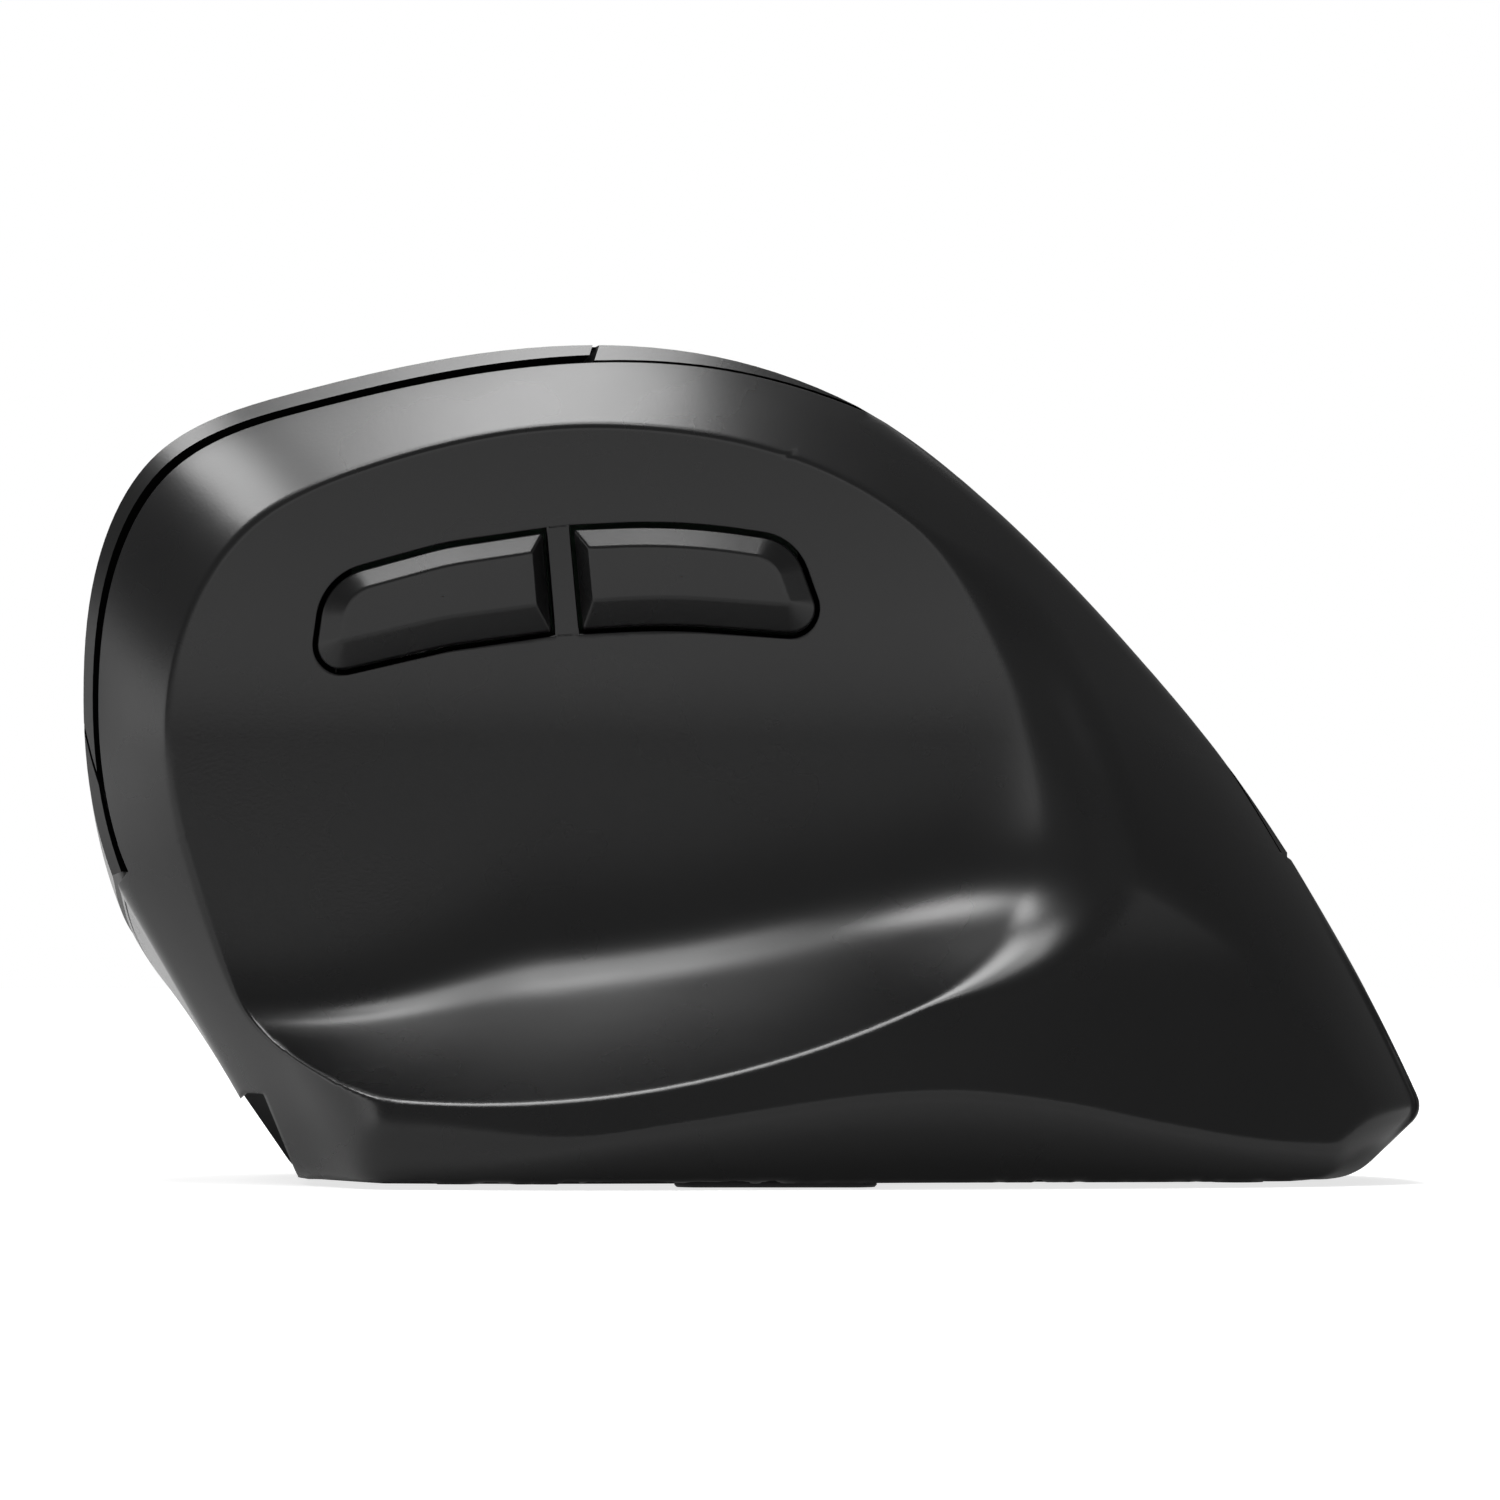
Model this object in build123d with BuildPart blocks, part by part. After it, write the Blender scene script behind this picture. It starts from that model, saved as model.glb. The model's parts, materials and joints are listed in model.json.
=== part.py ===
from build123d import *
from math import cos, exp, hypot, log, radians, sin
import os

# Vertical ergonomic mouse for the right hand, in millimetres.
# +X runs from the finger end to the heel, +Y towards the palm side, -Y is the thumb side, +Z is up.
# The origin is on the desk, under the middle of the mouse.

os.makedirs("parts", exist_ok=True)

# Overall form. Pieces are drawn with the crest at crest_y and set down about their middle at the end.
shell_floor = 0.5
wall = 2.0
wall_shift = 0.6
scoop_shift = 0.7
base_drop = 6.0
crest_y = -12.0
palm_reach = 51.0
palm_last_share = 0.97
palm_stations = [0, 0.03, 0.08, 0.16, 0.27, 0.4, 0.53, 0.66, 0.78, 0.88, palm_last_share]
palm_anchor_x = 8.0
palm_foot_length = 0.22
palm_fullness = 1.22
palm_steepness = 1.16
plan_roundness = 2.4
bevel_depth = 26.0
bevel_thickening = 1.3
lip_y = -36.0
wall_lean = 0.25
lean_top = 20.0

# Reach of a cut that has to pass right through the mouse
past = 110.0

# Side outline of the whole mouse, from the heel corner over the top to the chin
dome_points = [
    (60.0, 6.6), (53.9, 19.1), (42.7, 37.0), (27.6, 54.9), (11.5, 68.3), (-4.7, 74.2),
    (-22.2, 74.5), (-41.0, 70.7), (-53.5, 65.0), (-58.7, 54.9), (-59.8, 45.1), (-58.7, 32.5),
    (-57.2, 27.5),
]
heel_base_x = 53.6
toe_base_x = -41.7

# Far end of the bevel that frames the thumb side, point for point with the outline
bevel_points = [
    (50.0, 6.6), (42.0, 15.5), (29.0, 25.5), (14.5, 36.0), (2.0, 44.8), (-6.0, 48.4),
    (-17.0, 49.0), (-28.0, 47.5), (-35.0, 44.5), (-38.0, 41.0), (-38.8, 37.5), (-37.0, 32.5),
    (-34.5, 28.5),
]
bevel_heel_base_x = 46.0
bevel_toe_base_x = -31.5

# Thumb side seen from above: how far the lip stands back along its length
lip_points = [
    (-75, 12.0), (-52, 5.6), (-38, 2.2), (-10, 0.0), (18, 1.8), (38, 7.5), (50, 13.5),
    (60, 21.5), (75, 36.0),
]

# Thumb scoop, a shallow bowl that turns out into a ledge along its foot
bowl_y = -13.7
bowl_middle_x = -12.0
bowl_middle_z = 40.0
bowl_front_rise = 7.5
bowl_front_length = 40.0
bowl_rear_rise = 10.5
bowl_rear_length = 41.0
bowl_rear_power = 3.4
bowl_top_rise = 5.2
bowl_top_height = 27.0
ledge_low_x = -24.0
ledge_low_z = 7.5
ledge_climb = 0.0055
ledge_slope = 2.0
ledge_softness = 2.6
scoop_stations = [-64, -56, -48, -40, -32, -24, -16, -8, 0, 7, 13, 18, 22, 26, 30, 35, 42]
scoop_heights = [-4, 2, 6, 9, 12, 15, 18, 21, 24, 28, 33, 40, 48, 57, 66, 76, 86]

# Skirt crease along the foot of the thumb side, and how far its cut runs over and under it
crease_points = [
    (-50, 4.1), (-29, 4.0), (-17, 4.2), (-5, 5.9), (9, 8.0), (18, 8.5), (27, 7.5), (36, 5.6),
    (45, 4.0), (54, 3.4), (66, 3.4),
]
skirt_undercut = 0.8
skirt_rise = 3.0
skirt_depth = 8.0

# Seams between the shell, the click plates and the palm cover
plate_gap = 0.6
cover_gap = 0.12
seam_plan = [
    (-75, -13.6), (-20, -13.6), (0, -12.8), (10.5, -12.0), (25, -10.5), (36, -11.0),
    (44, -12.3), (50, -13.5), (75, -15.0),
]
seam_rear = [
    (-90, 13), (-30, 13), (-8, 12.5), (12, 9), (28, 0), (39, -13), (46, -26), (50, -40), (54, -95),
]
seam_shift = 0.7
seam_low_z = 27.0
seam_fall = 0.3
rim_width = 5.0
bowl_clear = 2.5
plate_rear_x = -19.0
rear_turn_v = -63.5
rear_slant = 1.1
split_line = [(-60.5, -42.0), (-59.0, -38.0), (-56.0, -31.5), (-50.0, -26.5)]

# Side buttons: outlines as (x, z, corner radius), the pad's rim and the flange behind the shell
forward_outline = [
    (-17.5, 48.9, 0), (-27.0, 47.6, 20), (-39.8, 44.6, 2.7), (-38.4, 54.3, 5.5), (-27.5, 57.3, 30),
    (-18.3, 58.7, 0),
]
back_outline = [
    (-16.5, 58.9, 0), (-6.5, 59.3, 60), (3.9, 57.8, 5.0), (7.3, 48.4, 2.7), (-7.5, 49.5, 60),
    (-15.6, 49.0, 0),
]
forward_stem = (-27.5, 52.5)
back_stem = (-5.0, 53.5)
pad_probe = (2.0, 1.0)
pad_rise = 1.9
pad_step = 0.4
pad_mitre = 50
pad_ledge = 0.06
pocket_gap = 0.5
pocket_span = (-34.0, -7.0)
button_span = (-34.0, -8.0)
flange_step = 0.55
flange_clearance = 0.35
flange_thickness = 1.2
stem_radius = 1.3
stem_length = 4.0

# Small push switches, under the side buttons and the DPI button
tact_size = 6.0
tact_corner = 0.6
tact_floor = 1.0
tact_well_radius = 1.8
tact_plunger_radius = 1.7
tact_plunger_rise = 0.8
side_switch_depth = 3.1
dpi_switch_height = 2.6
side_travel = 0.5

# Board behind the side buttons
side_board_y = -6.2
side_board_thickness = 1.0
side_board_middle = (-16.0, 55.6)
side_board_size = (40.0, 16.4)
side_post_spots = [(-33.0, 61.8), (1.5, 61.8)]
side_post_length = 14.0
side_hole_depth = 5.0
board_corner = 1.0
post_radius = 1.8

# Palm side mechanism, laid out on planes parallel to the palm slope.
# Positions there are (x, v), with v running down the slope, and n is the height above the plane.
palm_tilt = 55.0
frame_n = 18.4
frame_thickness = 2.0
frame_high_v = -40.0
frame_low_v = -6.0
frame_front_x = -51.0
frame_corner_v = -17.0
frame_low_x = -45.0
frame_ear_x = -17.5
frame_step_x = -24.5
frame_step = 2.5
frame_rear_x = 2.0
frame_tongue_v = (-33.0, -14.0)
ear_thickness = 1.8
ear_foot = 1.0
leg_spots = [(-27.0, -4.0), (-33.0, 8.0), (-4.0, 3.0)]
leg_radius = 2.0
board_n = 22.4
board_thickness = 1.6
board_post_spots = [(-24.0, -35.8), (-20.0, -11.5), (-47.3, -17.6)]
upper_board_outline = [
    (-50.5, -38.4), (-26.0, -38.4), (-26.0, -33.0), (1.0, -33.0), (1.0, -19.0), (-17.0, -19.0),
    (-17.0, -8.6), (-46.0, -8.6), (-50.5, -18.0),
]

# Click plates' pivot, lugs and posts
pivot_x = -21.5
pivot_n = 29.0
pivot_radius = 1.25
pivot_fit = 0.06
pivot_end_gap = 0.1
pin_chamfer = 0.2
lug_radius = 2.2
lug_thickness = 2.4
lug_reach = 10.0
left_lugs = (-36.3, -32.6)
right_lugs = (-20.4, -10.0)
plate_post_radius = 1.6

# Click switches
switch_size = (12.8, 5.8, 6.4)
switch_corner = 0.4
left_switch_spot = (-44.0, -35.2)
right_switch_spot = (-38.0, -13.8)
plunger_size = (2.1, 3.1)
plunger_fit = 0.1
plunger_well = 2.0
plunger_seat = 0.6
plunger_rise = 0.7
plunger_ahead = 2.8
post_gap = 0.1

# Wheel, tyre and axle
wheel_x = -38.0
wheel_v = -26.5
wheel_n = 27.1
wheel_radius = 11.5
wheel_width = 7.0
wheel_gap = 0.8
well_gap = 1.3
well_corner = 2.0
wheel_slot_room = 1.5
hub_radius = 9.6
hub_wall = 1.6
hub_set_in = 0.4
hub_boss_radius = 2.8
spoke_count = 5
spoke_width = 1.6
axle_radius = 1.2
axle_fit = 0.06
axle_corner = 0.4
axle_short_end = 1.9
axle_long_end = 6.0
tyre_chamfer = 0.7
tread_count = 36
tread_size = (1.1, 0.8)
tread_rise = 0.15
tread_margin = 1.1

# Carrier of the wheel, its middle switch and the encoder
carrier_wall = 1.0
carrier_gap = 0.3
carrier_board_gap = 1.3
carrier_frame_gap = 0.6
cheek_radius = 3.0
arm_size = (14.0, 4.0)
bar_gap = 0.7
bar_thickness = 1.3
finger_x = -28.5
finger_size = (4.0, 4.2, 1.6)
finger_drop = 0.6
middle_ahead = 2.4
middle_size = (4.4, 3.6, 1.5)
middle_corner = 0.4
middle_floor = 0.4
middle_well_radius = 1.15
middle_plunger_radius = 1.05
middle_plunger_foot = 1.1
middle_travel = 0.5
encoder_gap = 0.4
encoder_width = 8.0
encoder_head = 4.0
encoder_depth = 3.0

# DPI button and the status light beside it
dpi_spot = (-7.0, -26.5)
dpi_size = (9.0, 4.6)
dpi_face_n = 37.9
dpi_gap = 0.3
dpi_chamfer = 0.5
dpi_flange_n = 34.2
dpi_flange_step = 1.0
dpi_flange_thickness = 1.0
dpi_stem_radius = 1.4
indicator_spot = (2.5, -26.5)
indicator_radius = 0.9
indicator_n = 36.9
indicator_length = 2.6
indicator_flange = (0.8, 1.0)

# Base, its feet and its screws
base_thickness = 2.0
base_fit = 0.12
base_fit_scale = (0.997, 0.996, 1)
seat_gap = 0.1
foot_thickness = 0.8
foot_width = 5.0
foot_fit = 0.1
foot_chamfer = 0.2
feet = [((-29.0, 6.0), 24, 90), ((43.5, 4.0), 20, 90), ((2.0, -20.5), 18, 0), ((11.0, 27.5), 18, 0)]
screw_spots = [((-27.0, -20.5), 15), ((27.0, -20.0), 26), ((-16.0, 30.5), 10), ((28.0, 30.0), 12)]
boss_radius = 3.0
screw_radius = 0.8
screw_bite = 0.1
screw_room = 0.15
screw_length = 6.0
screw_hole_depth = 7.5
screw_head_radius = 2.1
head_room = 0.2
head_depth = 1.0
cross_size = (2.4, 0.6)
cross_corner = 0.1
cross_depth = 0.5

# Main board, its chips and its screws
main_board_z = 4.6
main_board_thickness = 1.2
main_board_outline = [
    (-38.4, -16.0), (17.0, -16.0), (17.0, 20.0), (-27.0, 20.0), (-37.0, 8.0), (-38.4, 3.0),
]
base_post_spots = [(-33.0, -13.0), (14.0, -13.0), (14.0, 17.0), (-23.0, 17.0)]
post_hole_start = 0.6
leg_room = 0.5
chips = [
    (4.0, -8.0, 7.0, 7.0, 1.0), (6.0, 11.0, 5.0, 5.0, 0.9), (-8.0, 13.0, 3.2, 2.5, 0.8),
    (10.0, 2.0, 4.0, 1.6, 1.1),
]
board_screw_head = (1.6, 0.8)
board_screw_lengths = (3.2, 4.6)

# Sensor and lens
sensor_spot = (-14.0, -3.0)
sensor_size = (11.0, 9.0, 2.6)
sensor_corner = 0.5
sensor_hole = (1.4, 1.2)
sensor_window = (7.0, 5.5)
lens_size = (13.0, 11.0)
lens_dome = (2.2, 0.8)
lens_drop = 1.0
window_size = (8.0, 7.0)
window_corner = 1.5
window_fit = 0.3

# Charging socket in its recess at the finger end
notch_face = [(-43.6, 8.2), (-40.7, 1.0)]
notch_palm_y = 2.0
notch_width = 30.0
socket_y = -7.0
socket_z = 6.0
socket_mouth_x = -42.6
socket_size = (7.4, 8.94, 3.2)
socket_corner = 1.5
socket_wall = 0.3
socket_depth = 6.2
socket_fit = 0.12
socket_seat_gap = 0.02
tongue_set_in = 0.8
tongue_size = (6.7, 0.7)
corner_block_x = -39.3
corner_block_y = -9.5
corner_block_size = (14.0, 29.0, 10.0)

# Power switch and its slider
power_spot = (-6.0, 24.0)
power_travel = 1.5
power_body = (10.0, 4.2, 3.4)
power_well = 2.3
slider_cap = (5.4, 3.8, 0.75)
slider_corner = 0.6
slider_stem = (2.4, 1.2, 3.3)
slider_room = (0.5, 0.3)
slider_recess = (0.5, 0.4)
slider_ribs = (0.4, 2.8, 0.3)
slider_rib_pitch = 1.2

# Battery and receiver
battery_size = (24.0, 26.0, 6.2)
battery_spot = (33.5, 8.0)
battery_edge = 1.6
cradle_wall = 1.2
cradle_gap = 0.1
cradle_corner = 4.0
cradle_height = 3.0
receiver_spot = (37.5, -11.5)
receiver_floor = 0.9
receiver_head = (14.2, 6.1, 5.6)
receiver_corner = 0.8
receiver_plug = (12.0, 4.5, 12.0)
receiver_mouth = (11.2, 2.1)
receiver_mouth_y = 0.75
receiver_gap = 0.3
bay_wall = 1.2
finger_slot = (8.0, 3.4, 1.9)

# Ribbon cable, its run given as (v, rise over the upper board) and then as (y, z)
ribbon_x = -33.5
ribbon_width = 8.0
ribbon_thickness = 0.3
ribbon_bend = [(-10.4, 0.35), (-8.2, 0.45), (-5.6, -1.2), (-4.0, -5.5)]
ribbon_fall = (15.9, 11.0)
ribbon_foot_y = 15.6

# Levels that follow from the sizes above
floor_top = shell_floor + base_thickness
board_face = main_board_z + main_board_thickness
board_top = board_n + board_thickness
plunger_top = board_top + switch_size[2] + plunger_rise
bay_head_top = receiver_floor + receiver_head[2] + receiver_gap
bay_plug_top = bay_head_top + receiver_plug[2]


def palm_scale(share):
    """Length and height of the side outline at a share of the palm side's reach."""
    arc = (1 - share**plan_roundness) ** (1 / plan_roundness)
    length = palm_foot_length + (1 - palm_foot_length) * arc
    height = (1 - share**palm_fullness) ** (1 / palm_steepness)
    return length, height


def inset(loop, distance):
    """A closed loop of points moved inwards by the distance, corners mitred."""
    moved = []
    for i, (x, z) in enumerate(loop):
        x0, z0 = loop[i - 1]
        x1, z1 = loop[(i + 1) % len(loop)]
        a = hypot(x - x0, z - z0)
        b = hypot(x1 - x, z1 - z)
        nx = -(z - z0) / a - (z1 - z) / b
        nz = (x - x0) / a + (x1 - x) / b
        reach = 2 * distance / (nx**2 + nz**2)
        moved.append((x + nx * reach, z + nz * reach))
    return moved


def side_loop(dome, heel_x, toe_x, distance):
    """Dome points and base corners of a side section; an inset one runs on straight below the floor."""
    loop = [*dome, (toe_x, shell_floor), (heel_x, shell_floor)]
    if not distance:
        return loop
    moved = inset(loop, distance)
    sides = []
    for (x0, z0), (x1, z1) in ((moved[-3], moved[-2]), (moved[0], moved[-1])):
        sides.append(x0 + (x1 - x0) * (shell_floor - z0) / (z1 - z0))
    toe, heel = sides
    low = shell_floor - base_drop
    return [*moved[:-2], (toe, shell_floor), (toe, low), (heel, low), (heel, shell_floor)]


def outline(loop):
    """Edges of a side section: a spline over the dome, straight chin, base and heel."""
    dome = len(dome_points)
    with BuildLine(mode=Mode.PRIVATE) as lines:
        Spline(*loop[:dome])
        Polyline(*loop[dome - 1:], loop[0])
    return lines.edges()


def stand_back(x, points):
    """Value at x on the smooth curve through the points."""
    i = 1
    while i < len(points) - 3 and x > points[i + 1][0]:
        i += 1
    (xa, a), (xb, b), (xc, c), (xd, d) = points[i - 1], points[i], points[i + 1], points[i + 2]
    t = (x - xb) / (xc - xb)
    mb = (c - a) / (xc - xa) * (xc - xb)
    mc = (d - b) / (xd - xb) * (xc - xb)
    t2 = t * t
    t3 = t2 * t
    return (2 * t3 - 3 * t2 + 1) * b + (t3 - 2 * t2 + t) * mb + (3 * t2 - 2 * t3) * c + (t3 - t2) * mc


def wall_y(x, z):
    """Outer thumb wall, leaning in up to lean_top and upright above it."""
    return lip_y + stand_back(x, lip_points) + wall_lean * min(z, lean_top)


def scoop_y(x, z):
    """Thumb scoop: bowl and ledge joined by a soft hollow."""
    ahead = max(0.0, bowl_middle_x - x) / bowl_front_length
    behind = max(0.0, x - bowl_middle_x) / bowl_rear_length
    above = max(0.0, z - bowl_middle_z) / bowl_top_height
    bowl = bowl_y - bowl_front_rise * ahead**2 - bowl_rear_rise * behind**bowl_rear_power
    bowl -= bowl_top_rise * above**2
    rim_z = ledge_low_z + ledge_climb * (x - ledge_low_x) ** 2
    ledge = wall_y(x, rim_z) + ledge_slope * (z - rim_z)
    low = min(bowl, ledge)
    return low - ledge_softness * log(1 + exp(-abs(bowl - ledge) / ledge_softness))


def envelope(skin):
    """Outer form of the shells, or the hollow inside a skin of the given thickness."""
    reach = palm_reach - skin
    base = side_loop(dome_points, heel_base_x, toe_base_x, skin)
    far = side_loop(bevel_points, bevel_heel_base_x, bevel_toe_base_x, skin * bevel_thickening)
    with BuildPart() as form:
        for share in palm_stations:
            length, height = palm_scale(share)
            section = []
            for x, z in base:
                rise = max(z - shell_floor, 0) * height + min(z - shell_floor, 0)
                section.append((palm_anchor_x + (x - palm_anchor_x) * length, shell_floor + rise))
            with BuildSketch(Plane.XZ.offset(-crest_y - reach * share)):
                make_face(outline(section))
        loft()
        with BuildSketch(Plane.XZ.offset(-crest_y)):
            make_face(outline(base))
        with BuildSketch(Plane.XZ.offset(-crest_y + bevel_depth)):
            make_face(outline(far))
        loft(ruled=True)
        shift = -wall_shift * skin
        rim = [(x + shift, wall_y(x, lean_top) + skin) for x, stand in lip_points]
        for way in ((0, 0, 1), (0, -wall_lean, -1)):
            with BuildSketch(Plane.XY.offset(lean_top)):
                with BuildLine():
                    Spline(*rim)
                    Polyline(rim[-1], (rim[-1][0], -past), (rim[0][0], -past), rim[0])
                make_face()
            extrude(amount=past, dir=way, mode=Mode.SUBTRACT)
        for x in scoop_stations:
            with BuildSketch(Plane.YZ.offset(x)):
                with BuildLine():
                    face = [(scoop_y(x, z) + skin, z - scoop_shift * skin) for z in scoop_heights]
                    Spline(*face)
                    Polyline(face[-1], (-past, face[-1][1]), (-past, face[0][1]), face[0])
                make_face()
        loft(mode=Mode.SUBTRACT)
        for x, z in crease_points:
            with BuildSketch(Plane.YZ.offset(x)):
                y = wall_y(x, z) + skin
                with BuildLine():
                    Polyline(
                        (y - skirt_rise * skirt_undercut, z + skirt_rise),
                        (y + skirt_undercut * (z + skirt_depth), -skirt_depth),
                        (-past, -skirt_depth),
                        (-past, z + skirt_rise),
                        close=True,
                    )
                make_face()
        loft(mode=Mode.SUBTRACT)
    return form.part


slope = Plane(
    origin=(0, 0, 0),
    x_dir=(1, 0, 0),
    z_dir=(0, sin(radians(palm_tilt)), cos(radians(palm_tilt))),
)


def palm_zone(gap):
    """Everything on the palm side of the seams, drawn back from them by the gap."""
    with BuildPart() as zone:
        with BuildSketch(Plane.XY.offset(-past)):
            line = [(x, y + gap) for x, y in seam_plan]
            with BuildLine():
                Spline(*line)
                Polyline(line[-1], (line[-1][0], past), (line[0][0], past), line[0])
            make_face()
        extrude(amount=2 * past)
        with BuildSketch(slope.offset(-past)):
            line = [(x - seam_shift * gap, v - seam_shift * gap) for x, v in seam_rear]
            with BuildLine():
                Spline(*line)
                Polyline(line[-1], (line[0][0], line[-1][1]), line[0])
            make_face()
        extrude(amount=2 * past, mode=Mode.INTERSECT)
        with BuildSketch(Plane.YZ.offset(-past)):
            low = [(y, seam_low_z + gap - seam_fall * (y - crest_y)) for y in (-past / 2, past)]
            with BuildLine():
                Polyline(*low, (past, 2 * past), (-past / 2, 2 * past), close=True)
            make_face()
        extrude(amount=2 * past, mode=Mode.INTERSECT)
        rim = [*dome_points, (toe_base_x, shell_floor), (heel_base_x, shell_floor)]
        with BuildSketch(Plane.XZ.offset(-crest_y - bowl_clear)):
            make_face(outline(inset(rim, rim_width)))
        extrude(amount=past, mode=Mode.SUBTRACT)
    return zone.part


outer = envelope(0)
hollow = envelope(wall)
skin = outer - hollow


def space_behind(rise):
    """Everything behind the thumb scoop, its face moved outwards by the rise."""
    with BuildPart() as space:
        for x in scoop_stations:
            with BuildSketch(Plane.YZ.offset(x)):
                with BuildLine():
                    face = [(scoop_y(x, z) - rise, z) for z in scoop_heights]
                    Spline(*face)
                    Polyline(face[-1], (past, face[-1][1]), (past, face[0][1]), face[0])
                make_face()
        loft()
    return space.part


def side_prism(points, growth, near_y, far_y):
    """Prism through the thumb side with the side-view outline of corners and radii, grown."""
    corners = [(x, z) for x, z, radius in points]
    radii = [radius for x, z, radius in points]
    with BuildPart() as prism:
        with BuildSketch(Plane.XZ.offset(-far_y)):
            with BuildLine():
                FilletPolyline(*corners, radius=radii, close=True)
            make_face()
            if growth:
                offset(amount=growth, kind=Kind.INTERSECTION)
        extrude(amount=far_y - near_y)
    return prism.part


def pad_face(points):
    """Plane laid on the scoop under a side button, just proud of it."""
    in_x, in_z = pad_probe
    x0, x1 = min(x for x, z, radius in points) + in_x, max(x for x, z, radius in points) - in_x
    z0, z1 = min(z for x, z, radius in points) + in_z, max(z for x, z, radius in points) - in_z
    x, z = (x0 + x1) / 2, (z0 + z1) / 2
    lean_x = (scoop_y(x1, z) - scoop_y(x0, z)) / (x1 - x0)
    lean_z = (scoop_y(x, z1) - scoop_y(x, z0)) / (z1 - z0)
    y = (scoop_y(x0, z) + scoop_y(x1, z) + scoop_y(x, z0) + scoop_y(x, z1)) / 4 - pad_step
    face = Plane(origin=(x, y, z), x_dir=(1, lean_x, 0), z_dir=(lean_x, -1, lean_z))
    corners = []
    for px, pz, radius in points:
        spot = face.to_local_coords(Vector(px, y + lean_x * (px - x) + lean_z * (pz - z), pz))
        corners.append((spot.X, spot.Y))
    return face, corners


def across(x, v, n):
    """Plane square to the slope direction, for pins and rolls that lie along it."""
    return Plane(origin=slope.from_local_coords((x, v, n)), x_dir=(1, 0, 0), z_dir=slope.y_dir)


middle_y = outer.bounding_box().center().Y


def keep(part, name):
    """Set a finished piece down with the origin under the middle, label it and write its file."""
    placed = part.moved(Location((0, -middle_y, 0)))
    placed.label = name
    export_step(placed, "parts/" + name + ".step")


skin_on_palm = skin & palm_zone(plate_gap)
plate_room = outer & palm_zone(plate_gap)

with BuildPart() as wheel_well:
    with BuildSketch(slope.offset(frame_n)):
        with Locations((wheel_x, wheel_v)):
            RectangleRounded(2 * (wheel_radius + well_gap), wheel_width + 2 * wheel_gap, well_corner)
    extrude(amount=past)

# Click plates, each with a post over its switch and two lugs on the pivot pin
plates = []
for upper in (True, False):
    shift = -plate_gap / 2 if upper else plate_gap / 2
    lift = -plate_gap if upper else 0
    end_v = -past if upper else past
    turn_v = rear_turn_v if upper else end_v
    rear_x = plate_rear_x - plate_gap
    switch_x, switch_v = left_switch_spot if upper else right_switch_spot
    with BuildPart() as plate:
        with BuildSketch(slope.offset(plunger_top + post_gap)):
            with Locations((switch_x - plunger_ahead, switch_v)):
                Circle(plate_post_radius)
        extrude(amount=past)
        for v in left_lugs if upper else right_lugs:
            with BuildSketch(across(pivot_x, v - lug_thickness / 2, pivot_n)):
                Circle(lug_radius)
                with Locations((0, -lug_reach / 2)):
                    Rectangle(2 * lug_radius, lug_reach)
            extrude(amount=lug_thickness)
        add(plate_room, mode=Mode.INTERSECT)
        add(skin_on_palm)
        with BuildSketch(across(pivot_x, frame_high_v, pivot_n)):
            Circle(pivot_radius + pivot_fit)
        extrude(amount=frame_low_v - frame_high_v, mode=Mode.SUBTRACT)
        with BuildSketch(slope.offset(-past)):
            with BuildLine():
                Polyline(
                    (rear_x, wheel_v + shift),
                    (split_line[-1][0], wheel_v + shift),
                    *[(x, v + lift) for x, v in reversed(split_line[:-1])],
                    (-past, split_line[0][1] + lift),
                    (-past, end_v),
                    (rear_x + rear_slant * (turn_v - end_v) * upper, end_v),
                    *[(rear_x, turn_v)] * upper,
                    close=True,
                )
            make_face()
        extrude(amount=2 * past, mode=Mode.INTERSECT)
        add(wheel_well.part, mode=Mode.SUBTRACT)
    plates.append(plate.part)
keep(plates[0], "left_click_plate")
keep(plates[1], "right_click_plate")

# Palm cover with the openings for the DPI button and the status light
with BuildPart() as palm_cover:
    add(skin & palm_zone(cover_gap))
    with BuildSketch(slope.offset(-past)):
        with BuildLine():
            Polyline(
                (plate_rear_x, past),
                (plate_rear_x, rear_turn_v),
                (plate_rear_x + rear_slant * (rear_turn_v + past), -past),
                (past, -past),
                (past, past),
                close=True,
            )
        make_face()
    extrude(amount=2 * past, mode=Mode.INTERSECT)
    with BuildSketch(slope.offset(board_top)):
        with Locations(dpi_spot):
            SlotOverall(dpi_size[0] + 2 * dpi_gap, dpi_size[1] + 2 * dpi_gap)
        with Locations(indicator_spot):
            Circle(indicator_radius)
    extrude(amount=past, mode=Mode.SUBTRACT)
keep(palm_cover.part, "palm_cover")

# Side buttons: a raised pad with a mitred rim, a flange behind the shell and a stem to the switch
behind_shell = space_behind(-wall - flange_clearance)
behind_flange = space_behind(-wall - flange_clearance - flange_thickness)
stem_y = side_board_y - side_switch_depth - tact_plunger_rise
pockets = []
buttons = []
for points, stem in ((forward_outline, forward_stem), (back_outline, back_stem)):
    with BuildPart() as button:
        add(side_prism(points, -pocket_gap, *button_span))
        face, corners = pad_face(points)
        with BuildSketch(face):
            Rectangle(past, past)
        extrude(amount=past, mode=Mode.SUBTRACT)
        with BuildSketch(face):
            with BuildLine():
                FilletPolyline(*corners, radius=[radius for x, z, radius in points], close=True)
            make_face()
            offset(amount=-pocket_gap - pad_ledge, kind=Kind.INTERSECTION)
        extrude(amount=pad_rise - pad_step, taper=pad_mitre)
        add(side_prism(points, flange_step, *button_span) & behind_shell)
        add(behind_flange, mode=Mode.SUBTRACT)
        with BuildSketch(Plane.XZ.offset(-stem_y)):
            with Locations(stem):
                Circle(stem_radius)
        extrude(amount=stem_length)
    buttons.append(button.part)
    pockets.append(side_prism(points, 0, *pocket_span))
keep(buttons[0], "forward_button")
keep(buttons[1], "back_button")

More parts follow.
